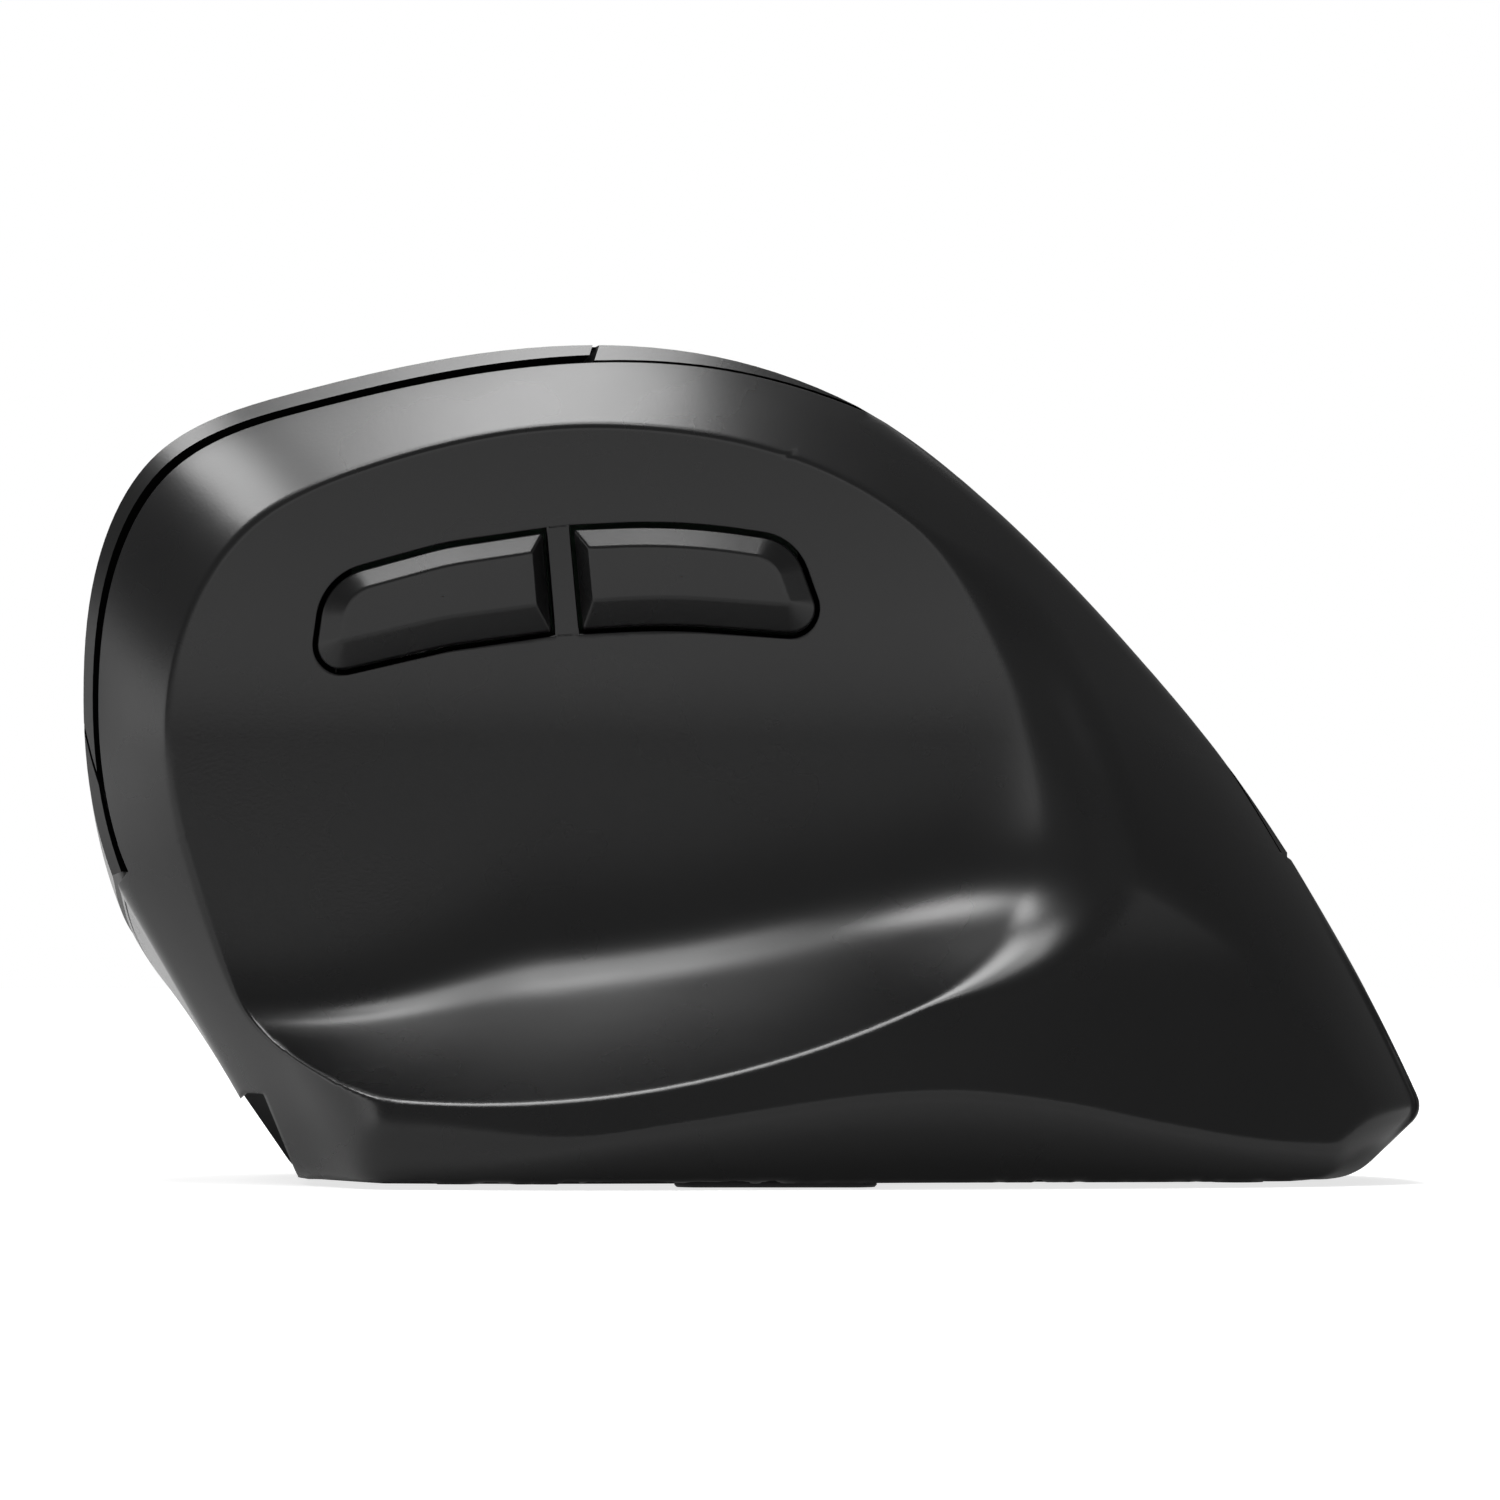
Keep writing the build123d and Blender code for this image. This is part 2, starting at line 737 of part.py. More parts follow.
# Side board with its two switches
side_board_face = Plane.XZ.offset(-side_board_y - side_board_thickness)
with BuildPart() as side_board:
    with BuildSketch(side_board_face):
        with Locations(side_board_middle):
            RectangleRounded(*side_board_size, board_corner)
        with Locations(*side_post_spots):
            Circle(screw_radius + screw_bite, mode=Mode.SUBTRACT)
    extrude(amount=side_board_thickness)
keep(side_board.part, "side_button_board")

for stem, name in ((forward_stem, "forward_switch"), (back_stem, "back_switch")):
    with BuildPart() as switch:
        with BuildSketch(Plane.XZ.offset(-side_board_y)):
            with Locations(stem):
                RectangleRounded(tact_size, tact_size, tact_corner)
        extrude(amount=side_switch_depth)
        with BuildSketch(Plane.XZ.offset(-side_board_y + tact_floor)):
            with Locations(stem):
                Circle(tact_well_radius)
        extrude(amount=side_switch_depth, mode=Mode.SUBTRACT)
    keep(switch.part, name)
    foot = tact_floor + side_travel
    with BuildPart() as plunger:
        with BuildSketch(Plane.XZ.offset(-side_board_y + foot)):
            with Locations(stem):
                Circle(tact_plunger_radius)
        extrude(amount=side_switch_depth - foot + tact_plunger_rise)
    keep(plunger.part, name + "_plunger")

# Main shell with its screw bosses, the side board posts and the thickened corner around the socket
with BuildPart() as fittings:
    for spot, top in screw_spots:
        with BuildSketch(Plane.XY.offset(floor_top + seat_gap)):
            with Locations(spot):
                Circle(boss_radius)
        extrude(amount=top - floor_top - seat_gap)
    with BuildSketch(Plane.XY.offset(shell_floor)):
        with Locations((corner_block_x, corner_block_y)):
            Rectangle(*corner_block_size[:2], align=(Align.MAX, Align.CENTER))
    extrude(amount=corner_block_size[2])
    with BuildSketch(Plane.XZ.offset(-side_board_y)):
        with Locations(*side_post_spots):
            Circle(post_radius)
    extrude(amount=side_post_length)
with BuildPart() as main_shell:
    add(skin - palm_zone(0))
    add(fittings.part & outer)
    for spot, top in screw_spots:
        with BuildSketch(Plane.XY.offset(shell_floor)):
            with Locations(spot):
                Circle(screw_radius - screw_bite)
        extrude(amount=screw_hole_depth, mode=Mode.SUBTRACT)
    with BuildSketch(Plane.XZ.offset(-side_board_y)):
        with Locations(*side_post_spots):
            Circle(screw_radius - screw_bite)
    extrude(amount=side_hole_depth, mode=Mode.SUBTRACT)
    add(pockets[0], mode=Mode.SUBTRACT)
    add(pockets[1], mode=Mode.SUBTRACT)
    with BuildSketch(Plane.XZ.offset(-notch_palm_y)):
        with BuildLine():
            (top_x, top_z), (foot_x, foot_z) = notch_face
            Polyline((-past, foot_z), (foot_x, foot_z), (top_x, top_z), (-past, top_z), close=True)
        make_face()
    extrude(amount=notch_width, mode=Mode.SUBTRACT)
    with BuildSketch(Plane.YZ.offset(corner_block_x - corner_block_size[0])):
        with Locations((socket_y, socket_z)):
            fit = 2 * socket_fit
            RectangleRounded(socket_size[1] + fit, socket_size[2] + fit, socket_corner + socket_fit)
    extrude(amount=corner_block_size[0] + wall, mode=Mode.SUBTRACT)
keep(main_shell.part, "main_shell")

# Frame under the palm slope: it carries the pivot pin, the upper board and the wheel
slot_length = 2 * (wheel_radius + wheel_slot_room)
ear_height = pivot_n - frame_n - ear_foot
with BuildPart() as upper_frame:
    for spot in leg_spots:
        with BuildSketch(Plane.XY.offset(floor_top)):
            with Locations(spot):
                Circle(leg_radius)
        extrude(amount=past)
    with BuildSketch(slope.offset(frame_n - past)):
        Rectangle(2 * past, 2 * past)
    extrude(amount=past, mode=Mode.INTERSECT)
    with BuildSketch(slope.offset(frame_n)):
        tongue_high, tongue_low = frame_tongue_v
        with BuildLine():
            Polyline(
                (frame_front_x, frame_high_v),
                (frame_ear_x, frame_high_v),
                (frame_ear_x, tongue_high),
                (frame_rear_x, tongue_high),
                (frame_rear_x, tongue_low),
                (frame_ear_x, tongue_low),
                (frame_ear_x, frame_low_v),
                (frame_step_x, frame_low_v),
                (frame_step_x, frame_low_v - frame_step),
                (frame_low_x, frame_low_v - frame_step),
                (frame_front_x, frame_corner_v),
                close=True,
            )
        make_face()
        with Locations((wheel_x, wheel_v)):
            Rectangle(slot_length, wheel_width + 2 * carrier_gap + carrier_frame_gap, mode=Mode.SUBTRACT)
    extrude(amount=frame_thickness)
    for v in (frame_high_v, frame_low_v - ear_thickness):
        with BuildSketch(across(pivot_x, v, pivot_n)):
            Circle(lug_radius)
            with Locations((0, ear_height / 2)):
                Rectangle(2 * lug_radius, ear_height)
        extrude(amount=ear_thickness)
    with BuildSketch(across(pivot_x, frame_high_v, pivot_n)):
        Circle(pivot_radius)
    extrude(amount=frame_low_v - frame_high_v, mode=Mode.SUBTRACT)
    with BuildSketch(slope.offset(frame_n + frame_thickness)):
        with Locations(*board_post_spots):
            Circle(post_radius)
    extrude(amount=board_n - frame_n - frame_thickness)
    with BuildSketch(slope.offset(frame_n)):
        with Locations(*board_post_spots):
            Circle(screw_radius - screw_bite)
    extrude(amount=board_n - frame_n, mode=Mode.SUBTRACT)
keep(upper_frame.part, "upper_frame")

with BuildPart() as pivot_pin:
    with BuildSketch(across(pivot_x, frame_high_v + pivot_end_gap, pivot_n)):
        Circle(pivot_radius)
    extrude(amount=frame_low_v - frame_high_v - 2 * pivot_end_gap)
    chamfer(pivot_pin.edges(), pin_chamfer)
keep(pivot_pin.part, "click_pivot_pin")

with BuildPart() as upper_board:
    with BuildSketch(slope.offset(board_n)):
        with BuildLine():
            Polyline(*upper_board_outline, close=True)
        make_face()
        with Locations((wheel_x, wheel_v)):
            Rectangle(slot_length, wheel_width + 2 * (carrier_gap + carrier_board_gap), mode=Mode.SUBTRACT)
        with Locations(*board_post_spots):
            Circle(screw_radius + screw_bite, mode=Mode.SUBTRACT)
    extrude(amount=board_thickness)
keep(upper_board.part, "upper_board")

# Click switches
switch_top = board_top + switch_size[2]
for spot, name in ((left_switch_spot, "left_switch"), (right_switch_spot, "right_switch")):
    x, v = spot
    with BuildPart() as switch:
        with BuildSketch(slope.offset(board_top)):
            with Locations(spot):
                RectangleRounded(switch_size[0], switch_size[1], switch_corner)
        extrude(amount=switch_size[2])
        with BuildSketch(slope.offset(switch_top - plunger_well)):
            with Locations((x - plunger_ahead, v)):
                Rectangle(plunger_size[0] + 2 * plunger_fit, plunger_size[1] + 2 * plunger_fit)
        extrude(amount=plunger_well, mode=Mode.SUBTRACT)
    keep(switch.part, name)
    with BuildPart() as plunger:
        with BuildSketch(slope.offset(switch_top - plunger_well + plunger_seat)):
            with Locations((x - plunger_ahead, v)):
                Rectangle(*plunger_size)
        extrude(amount=plunger_well - plunger_seat + plunger_rise)
    keep(plunger.part, name + "_plunger")

# Wheel, tyre and axle
wheel_high = wheel_v - wheel_width / 2
hub_high = wheel_high + hub_set_in
hub_width = wheel_width - 2 * hub_set_in
with BuildPart() as scroll_wheel:
    with BuildSketch(across(wheel_x, hub_high, wheel_n)):
        Circle(hub_radius)
        Circle(hub_radius - hub_wall, mode=Mode.SUBTRACT)
        Circle(hub_boss_radius)
        with PolarLocations(0, spoke_count):
            Rectangle(hub_radius - hub_wall / 2, spoke_width, align=(Align.MIN, Align.CENTER))
        RectangleRounded(2 * axle_radius, 2 * axle_radius, axle_corner, mode=Mode.SUBTRACT)
    extrude(amount=hub_width)
keep(scroll_wheel.part, "scroll_wheel")

with BuildPart() as wheel_tyre:
    with BuildSketch(across(wheel_x, wheel_high, wheel_n)):
        Circle(wheel_radius)
        Circle(hub_radius, mode=Mode.SUBTRACT)
    extrude(amount=wheel_width)
    chamfer(wheel_tyre.edges().filter_by(GeomType.CIRCLE).sort_by(SortBy.RADIUS)[-2:], tyre_chamfer)
    with BuildSketch(across(wheel_x, wheel_high + tread_margin, wheel_n)):
        with PolarLocations(wheel_radius + tread_rise, tread_count):
            Rectangle(*tread_size)
    extrude(amount=wheel_width - 2 * tread_margin, mode=Mode.SUBTRACT)
keep(wheel_tyre.part, "wheel_tyre")

with BuildPart() as wheel_axle:
    with BuildSketch(across(wheel_x, wheel_high - axle_short_end, wheel_n)):
        Circle(axle_radius)
    extrude(amount=axle_short_end + hub_set_in)
    with BuildSketch(across(wheel_x, hub_high, wheel_n)):
        RectangleRounded(2 * axle_radius, 2 * axle_radius, axle_corner)
    extrude(amount=hub_width)
    with BuildSketch(across(wheel_x, hub_high + hub_width, wheel_n)):
        Circle(axle_radius)
    extrude(amount=axle_long_end)
keep(wheel_axle.part, "wheel_axle")

# Carrier: two cheeks hold the axle, a bar behind the wheel joins them and a finger meets the switch
cheek_high = wheel_high - carrier_gap - carrier_wall
cheek_low = wheel_high + wheel_width + carrier_gap
with BuildPart() as wheel_carrier:
    for v in (cheek_high, cheek_low):
        with BuildSketch(across(wheel_x, v, wheel_n)):
            Circle(cheek_radius)
            with Locations((arm_size[0] / 2, 0)):
                Rectangle(*arm_size)
            Circle(axle_radius + axle_fit, mode=Mode.SUBTRACT)
        extrude(amount=carrier_wall)
    with BuildSketch(across(wheel_x, cheek_high, wheel_n)):
        with Locations((wheel_radius + bar_gap + bar_thickness / 2, 0)):
            Rectangle(bar_thickness, arm_size[1])
    extrude(amount=cheek_low + carrier_wall - cheek_high)
    with BuildSketch(slope.offset(wheel_n - finger_drop)):
        with Locations((finger_x, cheek_high)):
            Rectangle(finger_size[0], finger_size[1], align=(Align.CENTER, Align.MAX))
    extrude(amount=finger_size[2])
keep(wheel_carrier.part, "wheel_carrier")

middle_spot = (finger_x, cheek_high - middle_ahead)
with BuildPart() as middle_switch:
    with BuildSketch(slope.offset(board_top)):
        with Locations(middle_spot):
            RectangleRounded(middle_size[0], middle_size[1], middle_corner)
    extrude(amount=middle_size[2])
    with BuildSketch(slope.offset(board_top + middle_floor)):
        with Locations(middle_spot):
            Circle(middle_well_radius)
    extrude(amount=middle_size[2], mode=Mode.SUBTRACT)
keep(middle_switch.part, "middle_switch")
with BuildPart() as middle_plunger:
    with BuildSketch(slope.offset(board_top + middle_plunger_foot)):
        with Locations(middle_spot):
            Circle(middle_plunger_radius)
    extrude(amount=wheel_n - finger_drop - board_top - middle_plunger_foot)
keep(middle_plunger.part, "middle_switch_plunger")

axle_height = wheel_n - board_top
with BuildPart() as wheel_encoder:
    with BuildSketch(across(wheel_x, cheek_low + carrier_wall + encoder_gap, wheel_n)):
        with Locations((0, (axle_height - encoder_head) / 2)):
            Rectangle(encoder_width, axle_height + encoder_head)
        with Locations((0, middle_travel / 2)):
            Rectangle(2 * (axle_radius + carrier_gap), middle_travel, mode=Mode.SUBTRACT)
        with Locations((0, 0), (0, middle_travel)):
            Circle(axle_radius + carrier_gap, mode=Mode.SUBTRACT)
    extrude(amount=encoder_depth)
keep(wheel_encoder.part, "wheel_encoder")

# DPI button with its switch and the status light beside it
dpi_stem_n = board_top + dpi_switch_height + tact_plunger_rise
with BuildPart() as dpi_button:
    with BuildSketch(slope.offset(dpi_flange_n - dpi_flange_thickness)):
        with Locations(dpi_spot):
            SlotOverall(dpi_size[0] + 2 * dpi_flange_step, dpi_size[1] + 2 * dpi_flange_step)
    extrude(amount=dpi_flange_thickness)
    with BuildSketch(slope.offset(dpi_flange_n)):
        with Locations(dpi_spot):
            SlotOverall(*dpi_size)
    extrude(amount=dpi_face_n - dpi_flange_n)
    chamfer(dpi_button.faces().sort_by(Axis.Z)[-1].edges(), dpi_chamfer)
    with BuildSketch(slope.offset(dpi_stem_n)):
        with Locations(dpi_spot):
            Circle(dpi_stem_radius)
    extrude(amount=dpi_flange_n - dpi_flange_thickness - dpi_stem_n)
keep(dpi_button.part, "dpi_button")

with BuildPart() as dpi_switch:
    with BuildSketch(slope.offset(board_top)):
        with Locations(dpi_spot):
            RectangleRounded(tact_size, tact_size, tact_corner)
    extrude(amount=dpi_switch_height)
    with BuildSketch(slope.offset(board_top + tact_floor)):
        with Locations(dpi_spot):
            Circle(tact_well_radius)
    extrude(amount=dpi_switch_height, mode=Mode.SUBTRACT)
keep(dpi_switch.part, "dpi_switch")
with BuildPart() as dpi_plunger:
    with BuildSketch(slope.offset(board_top + tact_floor + side_travel)):
        with Locations(dpi_spot):
            Circle(tact_plunger_radius)
    extrude(amount=dpi_stem_n - board_top - tact_floor - side_travel)
keep(dpi_plunger.part, "dpi_switch_plunger")

flange_wider, flange_height = indicator_flange
with BuildPart() as status_light:
    with BuildSketch(slope.offset(indicator_n - indicator_length)):
        with Locations(indicator_spot):
            Circle(indicator_radius)
    extrude(amount=indicator_length)
    with BuildSketch(slope.offset(indicator_n - indicator_length - flange_height)):
        with Locations(indicator_spot):
            Circle(indicator_radius + flange_wider)
    extrude(amount=flange_height)
keep(status_light.part, "status_light_pipe")

# Base plate with the receiver bay, the battery cradle and the board posts
slider_slot = (slider_stem[0] + 2 * (power_travel + slider_room[0]), slider_stem[1] + 2 * slider_room[1])
slider_bay = (slider_cap[0] + 2 * (power_travel + slider_recess[0]), slider_cap[1] + 2 * slider_recess[1])
low_opening = section(hollow, section_by=Plane.XY.offset(shell_floor), mode=Mode.PRIVATE)
high_opening = section(hollow, section_by=Plane.XY.offset(floor_top), mode=Mode.PRIVATE)
with BuildPart() as base_plate:
    with BuildSketch(Plane.XY.offset(shell_floor)):
        add(low_opening.moved(Location((0, 0, -shell_floor))))
        add(high_opening.moved(Location((0, 0, -floor_top))), mode=Mode.INTERSECT)
        scale(by=base_fit_scale)
    extrude(amount=base_thickness)
    with BuildSketch(Plane.XY.offset(shell_floor)):
        with Locations((corner_block_x + base_fit, corner_block_y)):
            block_length, block_width, block_height = corner_block_size
            Rectangle(block_length, block_width + 2 * base_fit, align=(Align.MAX, Align.CENTER))
    extrude(amount=base_thickness, mode=Mode.SUBTRACT)
    with BuildSketch(Plane.XY.offset(floor_top)):
        with Locations(receiver_spot):
            around = 2 * (receiver_gap + bay_wall)
            Rectangle(receiver_head[0] + around, receiver_head[1] + around)
    extrude(amount=bay_plug_top + bay_wall - floor_top)
    for size, top in ((receiver_head, bay_head_top), (receiver_plug, bay_plug_top)):
        with BuildSketch(Plane.XY):
            with Locations(receiver_spot):
                Rectangle(size[0] + 2 * receiver_gap, size[1] + 2 * receiver_gap)
        extrude(amount=top, mode=Mode.SUBTRACT)
    with BuildSketch(Plane.XY):
        with Locations((receiver_spot[0], receiver_spot[1] + receiver_head[1] / 2)):
            SlotOverall(*finger_slot[:2])
    extrude(amount=finger_slot[2], mode=Mode.SUBTRACT)
    with BuildSketch(Plane.XY.offset(floor_top)):
        cell_x, cell_y, cell_z = battery_size
        around = 2 * (cradle_gap + cradle_wall)
        with Locations(battery_spot):
            Rectangle(cell_x + around, cell_y + around)
            Rectangle(cell_x + 2 * cradle_gap, cell_y + 2 * cradle_gap, mode=Mode.SUBTRACT)
            Rectangle(cell_x - 2 * cradle_corner, cell_y + 2 * around, mode=Mode.SUBTRACT)
            Rectangle(cell_x + 2 * around, cell_y - 2 * cradle_corner, mode=Mode.SUBTRACT)
    extrude(amount=cradle_height)
    with BuildSketch(Plane.XY.offset(floor_top)):
        with Locations(*base_post_spots):
            Circle(leg_radius)
    extrude(amount=main_board_z - floor_top)
    with BuildSketch(Plane.XY.offset(floor_top - post_hole_start)):
        with Locations(*base_post_spots):
            Circle(screw_radius - screw_bite)
    extrude(amount=main_board_z, mode=Mode.SUBTRACT)
    with BuildSketch(Plane.XY):
        for spot, top in screw_spots:
            with Locations(spot):
                Circle(screw_radius + screw_room)
        with Locations(sensor_spot):
            RectangleRounded(*window_size, window_corner)
        with Locations(power_spot):
            Rectangle(*slider_slot)
    extrude(amount=floor_top, mode=Mode.SUBTRACT)
    with BuildSketch(Plane.XY):
        for spot, top in screw_spots:
            with Locations(spot):
                Circle(screw_head_radius + head_room)
        with Locations(power_spot):
            RectangleRounded(*slider_bay, slider_corner)
    extrude(amount=shell_floor + head_depth, mode=Mode.SUBTRACT)
    for spot, length, turn in feet:
        with BuildSketch(Plane.XY):
            with Locations(Location((*spot, 0), (0, 0, turn))):
                SlotOverall(length + 2 * foot_fit, foot_width + 2 * foot_fit)
        extrude(amount=foot_thickness, mode=Mode.SUBTRACT)
keep(base_plate.part, "base_plate")

with BuildPart() as glide_feet:
    for spot, length, turn in feet:
        with BuildSketch(Plane.XY):
            with Locations(Location((*spot, 0), (0, 0, turn))):
                SlotOverall(length, foot_width)
        extrude(amount=foot_thickness)
    chamfer(glide_feet.faces().filter_by(Plane.XY).group_by(Axis.Z)[0].edges(), foot_chamfer)
keep(glide_feet.part, "glide_feet")

with BuildPart() as base_screws:
    for spot, top in screw_spots:
        with BuildSketch(Plane.XY.offset(shell_floor + seat_gap)):
            with Locations(spot):
                Circle(screw_head_radius)
        extrude(amount=head_depth - seat_gap)
        with BuildSketch(Plane.XY.offset(shell_floor + head_depth)):
            with Locations(spot):
                Circle(screw_radius - screw_bite)
        extrude(amount=screw_length)
    with BuildSketch(Plane.XY.offset(shell_floor + seat_gap)):
        for spot, top in screw_spots:
            with Locations(spot):
                RectangleRounded(cross_size[0], cross_size[1], cross_corner)
                RectangleRounded(cross_size[1], cross_size[0], cross_corner)
    extrude(amount=cross_depth, mode=Mode.SUBTRACT)
keep(base_screws.part, "base_screws")

# Main board and what stands on it
with BuildPart() as main_board:
    with BuildSketch(Plane.XY.offset(main_board_z)):
        with BuildLine():
            Polyline(*main_board_outline, close=True)
        make_face()
        with Locations(*leg_spots):
            Circle(leg_radius + leg_room, mode=Mode.SUBTRACT)
        with Locations((socket_mouth_x + socket_size[0] + socket_seat_gap, socket_y)):
            room = socket_size[1] + 2 * seat_gap
            Rectangle(past, room, align=(Align.MAX, Align.CENTER), mode=Mode.SUBTRACT)
        with Locations(sensor_spot):
            RectangleRounded(*sensor_window, board_corner, mode=Mode.SUBTRACT)
        with Locations(*base_post_spots):
            Circle(screw_radius + screw_bite, mode=Mode.SUBTRACT)
    extrude(amount=main_board_thickness)
keep(main_board.part, "main_board")

with BuildPart() as board_chips:
    for x, y, length, width, height in chips:
        with BuildSketch(Plane.XY.offset(board_face)):
            with Locations((x, y)):
                Rectangle(length, width)
        extrude(amount=height)
keep(board_chips.part, "board_chips")

with BuildPart() as optical_sensor:
    with BuildSketch(Plane.XY.offset(board_face)):
        with Locations(sensor_spot):
            RectangleRounded(sensor_size[0], sensor_size[1], sensor_corner)
    extrude(amount=sensor_size[2])
    with BuildSketch(Plane.XY.offset(board_face)):
        with Locations(sensor_spot):
            Circle(sensor_hole[0])
    extrude(amount=sensor_hole[1], mode=Mode.SUBTRACT)
keep(optical_sensor.part, "optical_sensor")

with BuildPart() as sensor_lens:
    with BuildSketch(Plane.XY.offset(floor_top)):
        with Locations(sensor_spot):
            RectangleRounded(*lens_size, board_corner)
    extrude(amount=main_board_z - floor_top)
    with BuildSketch(Plane.XY.offset(floor_top - lens_drop)):
        with Locations(sensor_spot):
            fit = 2 * window_fit
            RectangleRounded(window_size[0] - fit, window_size[1] - fit, window_corner - window_fit)
    extrude(amount=lens_drop)
    with Locations((*sensor_spot, main_board_z)):
        Cylinder(*lens_dome, align=(Align.CENTER, Align.CENTER, Align.MIN))
keep(sensor_lens.part, "sensor_lens")

socket_length, socket_width, socket_height = socket_size
with BuildPart() as charging_socket:
    with BuildSketch(Plane.YZ.offset(socket_mouth_x)):
        with Locations((socket_y, socket_z)):
            RectangleRounded(socket_width, socket_height, socket_corner)
    extrude(amount=socket_length)
    with BuildSketch(Plane.YZ.offset(socket_mouth_x)):
        with Locations((socket_y, socket_z)):
            sides = 2 * socket_wall
            RectangleRounded(socket_width - sides, socket_height - sides, socket_corner - socket_wall)
    extrude(amount=socket_depth, mode=Mode.SUBTRACT)
    with BuildSketch(Plane.YZ.offset(socket_mouth_x + tongue_set_in)):
        with Locations((socket_y, socket_z)):
            Rectangle(*tongue_size)
    extrude(amount=socket_depth - tongue_set_in)
keep(charging_socket.part, "charging_socket")

# Power switch
with BuildPart() as power_switch:
    with BuildSketch(Plane.XY.offset(floor_top)):
        with Locations(power_spot):
            Rectangle(*power_body[:2])
    extrude(amount=power_body[2])
    with BuildSketch(Plane.XY.offset(floor_top)):
        with Locations(power_spot):
            Rectangle(*slider_slot)
    extrude(amount=power_well, mode=Mode.SUBTRACT)
keep(power_switch.part, "power_switch")

cap_floor = shell_floor + seat_gap
with BuildPart() as power_slider:
    with BuildSketch(Plane.XY.offset(cap_floor)):
        with Locations(power_spot):
            RectangleRounded(slider_cap[0], slider_cap[1], slider_corner)
    extrude(amount=slider_cap[2])
    with BuildSketch(Plane.XY.offset(cap_floor + slider_cap[2])):
        with Locations(power_spot):
            Rectangle(*slider_stem[:2])
    extrude(amount=slider_stem[2])
    with BuildSketch(Plane.XY.offset(cap_floor)):
        with Locations(power_spot):
            with GridLocations(slider_rib_pitch, 0, 3, 1):
                Rectangle(*slider_ribs[:2])
    extrude(amount=slider_ribs[2], mode=Mode.SUBTRACT)
keep(power_slider.part, "power_slider")

# Battery and receiver
with BuildPart() as battery:
    with Locations((*battery_spot, floor_top)):
        Box(*battery_size, align=(Align.CENTER, Align.CENTER, Align.MIN))
    fillet(battery.edges().filter_by(Axis.Y), battery_edge)
keep(battery.part, "battery")

with BuildPart() as receiver:
    with BuildSketch(Plane.XY.offset(receiver_floor)):
        with Locations(receiver_spot):
            RectangleRounded(receiver_head[0], receiver_head[1], receiver_corner)
    extrude(amount=receiver_head[2])
    with BuildSketch(Plane.XY.offset(receiver_floor + receiver_head[2])):
        with Locations(receiver_spot):
            Rectangle(*receiver_plug[:2])
            with Locations((0, receiver_mouth_y)):
                Rectangle(*receiver_mouth, mode=Mode.SUBTRACT)
    extrude(amount=receiver_plug[2])
keep(receiver.part, "receiver")

# Ribbon cable from the upper board to the main board
with BuildPart() as ribbon_cable:
    bend = [slope.from_local_coords((0, v, board_top + rise)) for v, rise in ribbon_bend]
    path = [(spot.Y, spot.Z) for spot in bend] + [ribbon_fall, (ribbon_foot_y, board_face)]
    inner = [(ribbon_foot_y - ribbon_thickness, board_face)]
    inner += [(y - ribbon_thickness, z - ribbon_thickness / 2) for y, z in path[-2::-1]]
    with BuildSketch(Plane.YZ.offset(ribbon_x)):
        with BuildLine():
            Spline(*path)
            Line(path[-1], inner[0])
            Spline(*inner)
            Line(inner[-1], path[0])
        make_face()
    extrude(amount=ribbon_width)
keep(ribbon_cable.part, "ribbon_cable")

# Screws of the three boards, each a round head on the board and a shank in its post
head_radius, head_height = board_screw_head
base_shank, post_shank = board_screw_lengths
side_board_back = Plane(origin=side_board_face.origin, x_dir=(1, 0, 0), z_dir=(0, 1, 0))
groups = [
    (Plane.XY.offset(board_face), base_post_spots, base_shank),
    (slope.offset(board_top), board_post_spots, post_shank),
    (side_board_back, [(x, -z) for x, z in side_post_spots], post_shank),
]
with BuildPart() as board_screws:
    for face, spots, shank in groups:
        with BuildSketch(face):
            with Locations(*spots):
                Circle(head_radius)
        extrude(amount=head_height)
        with BuildSketch(face.offset(-shank)):
            with Locations(*spots):
                Circle(screw_radius - screw_room)
        extrude(amount=shank)
keep(board_screws.part, "board_screws")
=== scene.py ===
import json
import math

import bpy
import numpy as np
from bpy.props import FloatProperty, FloatVectorProperty, PointerProperty
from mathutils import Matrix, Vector


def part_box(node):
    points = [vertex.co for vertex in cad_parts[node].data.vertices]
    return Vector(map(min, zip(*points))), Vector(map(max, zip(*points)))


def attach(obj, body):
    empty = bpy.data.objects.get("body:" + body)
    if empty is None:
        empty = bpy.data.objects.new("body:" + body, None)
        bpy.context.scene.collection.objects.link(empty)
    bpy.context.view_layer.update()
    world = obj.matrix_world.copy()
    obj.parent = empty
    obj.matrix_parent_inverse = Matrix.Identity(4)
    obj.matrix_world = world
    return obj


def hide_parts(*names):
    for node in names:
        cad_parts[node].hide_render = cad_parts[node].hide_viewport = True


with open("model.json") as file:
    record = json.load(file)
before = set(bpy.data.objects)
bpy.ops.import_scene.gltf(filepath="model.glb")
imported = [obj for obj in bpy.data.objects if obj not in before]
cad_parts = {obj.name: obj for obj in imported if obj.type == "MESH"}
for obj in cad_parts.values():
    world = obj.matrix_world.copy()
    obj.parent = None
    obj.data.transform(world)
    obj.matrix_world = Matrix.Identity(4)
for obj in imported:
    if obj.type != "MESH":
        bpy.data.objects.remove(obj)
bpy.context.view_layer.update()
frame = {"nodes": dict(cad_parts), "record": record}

bl_info = {
    "name": "Vertical mouse",
    "version": (1, 0, 0),
    "blender": (4, 5, 0),
    "location": "3D View > Sidebar > Mouse",
    "description": "Surfaces, finishes and studio stage of a vertical ergonomic mouse",
    "category": "Object",
}

MM = 0.001
TINY = 1e-9

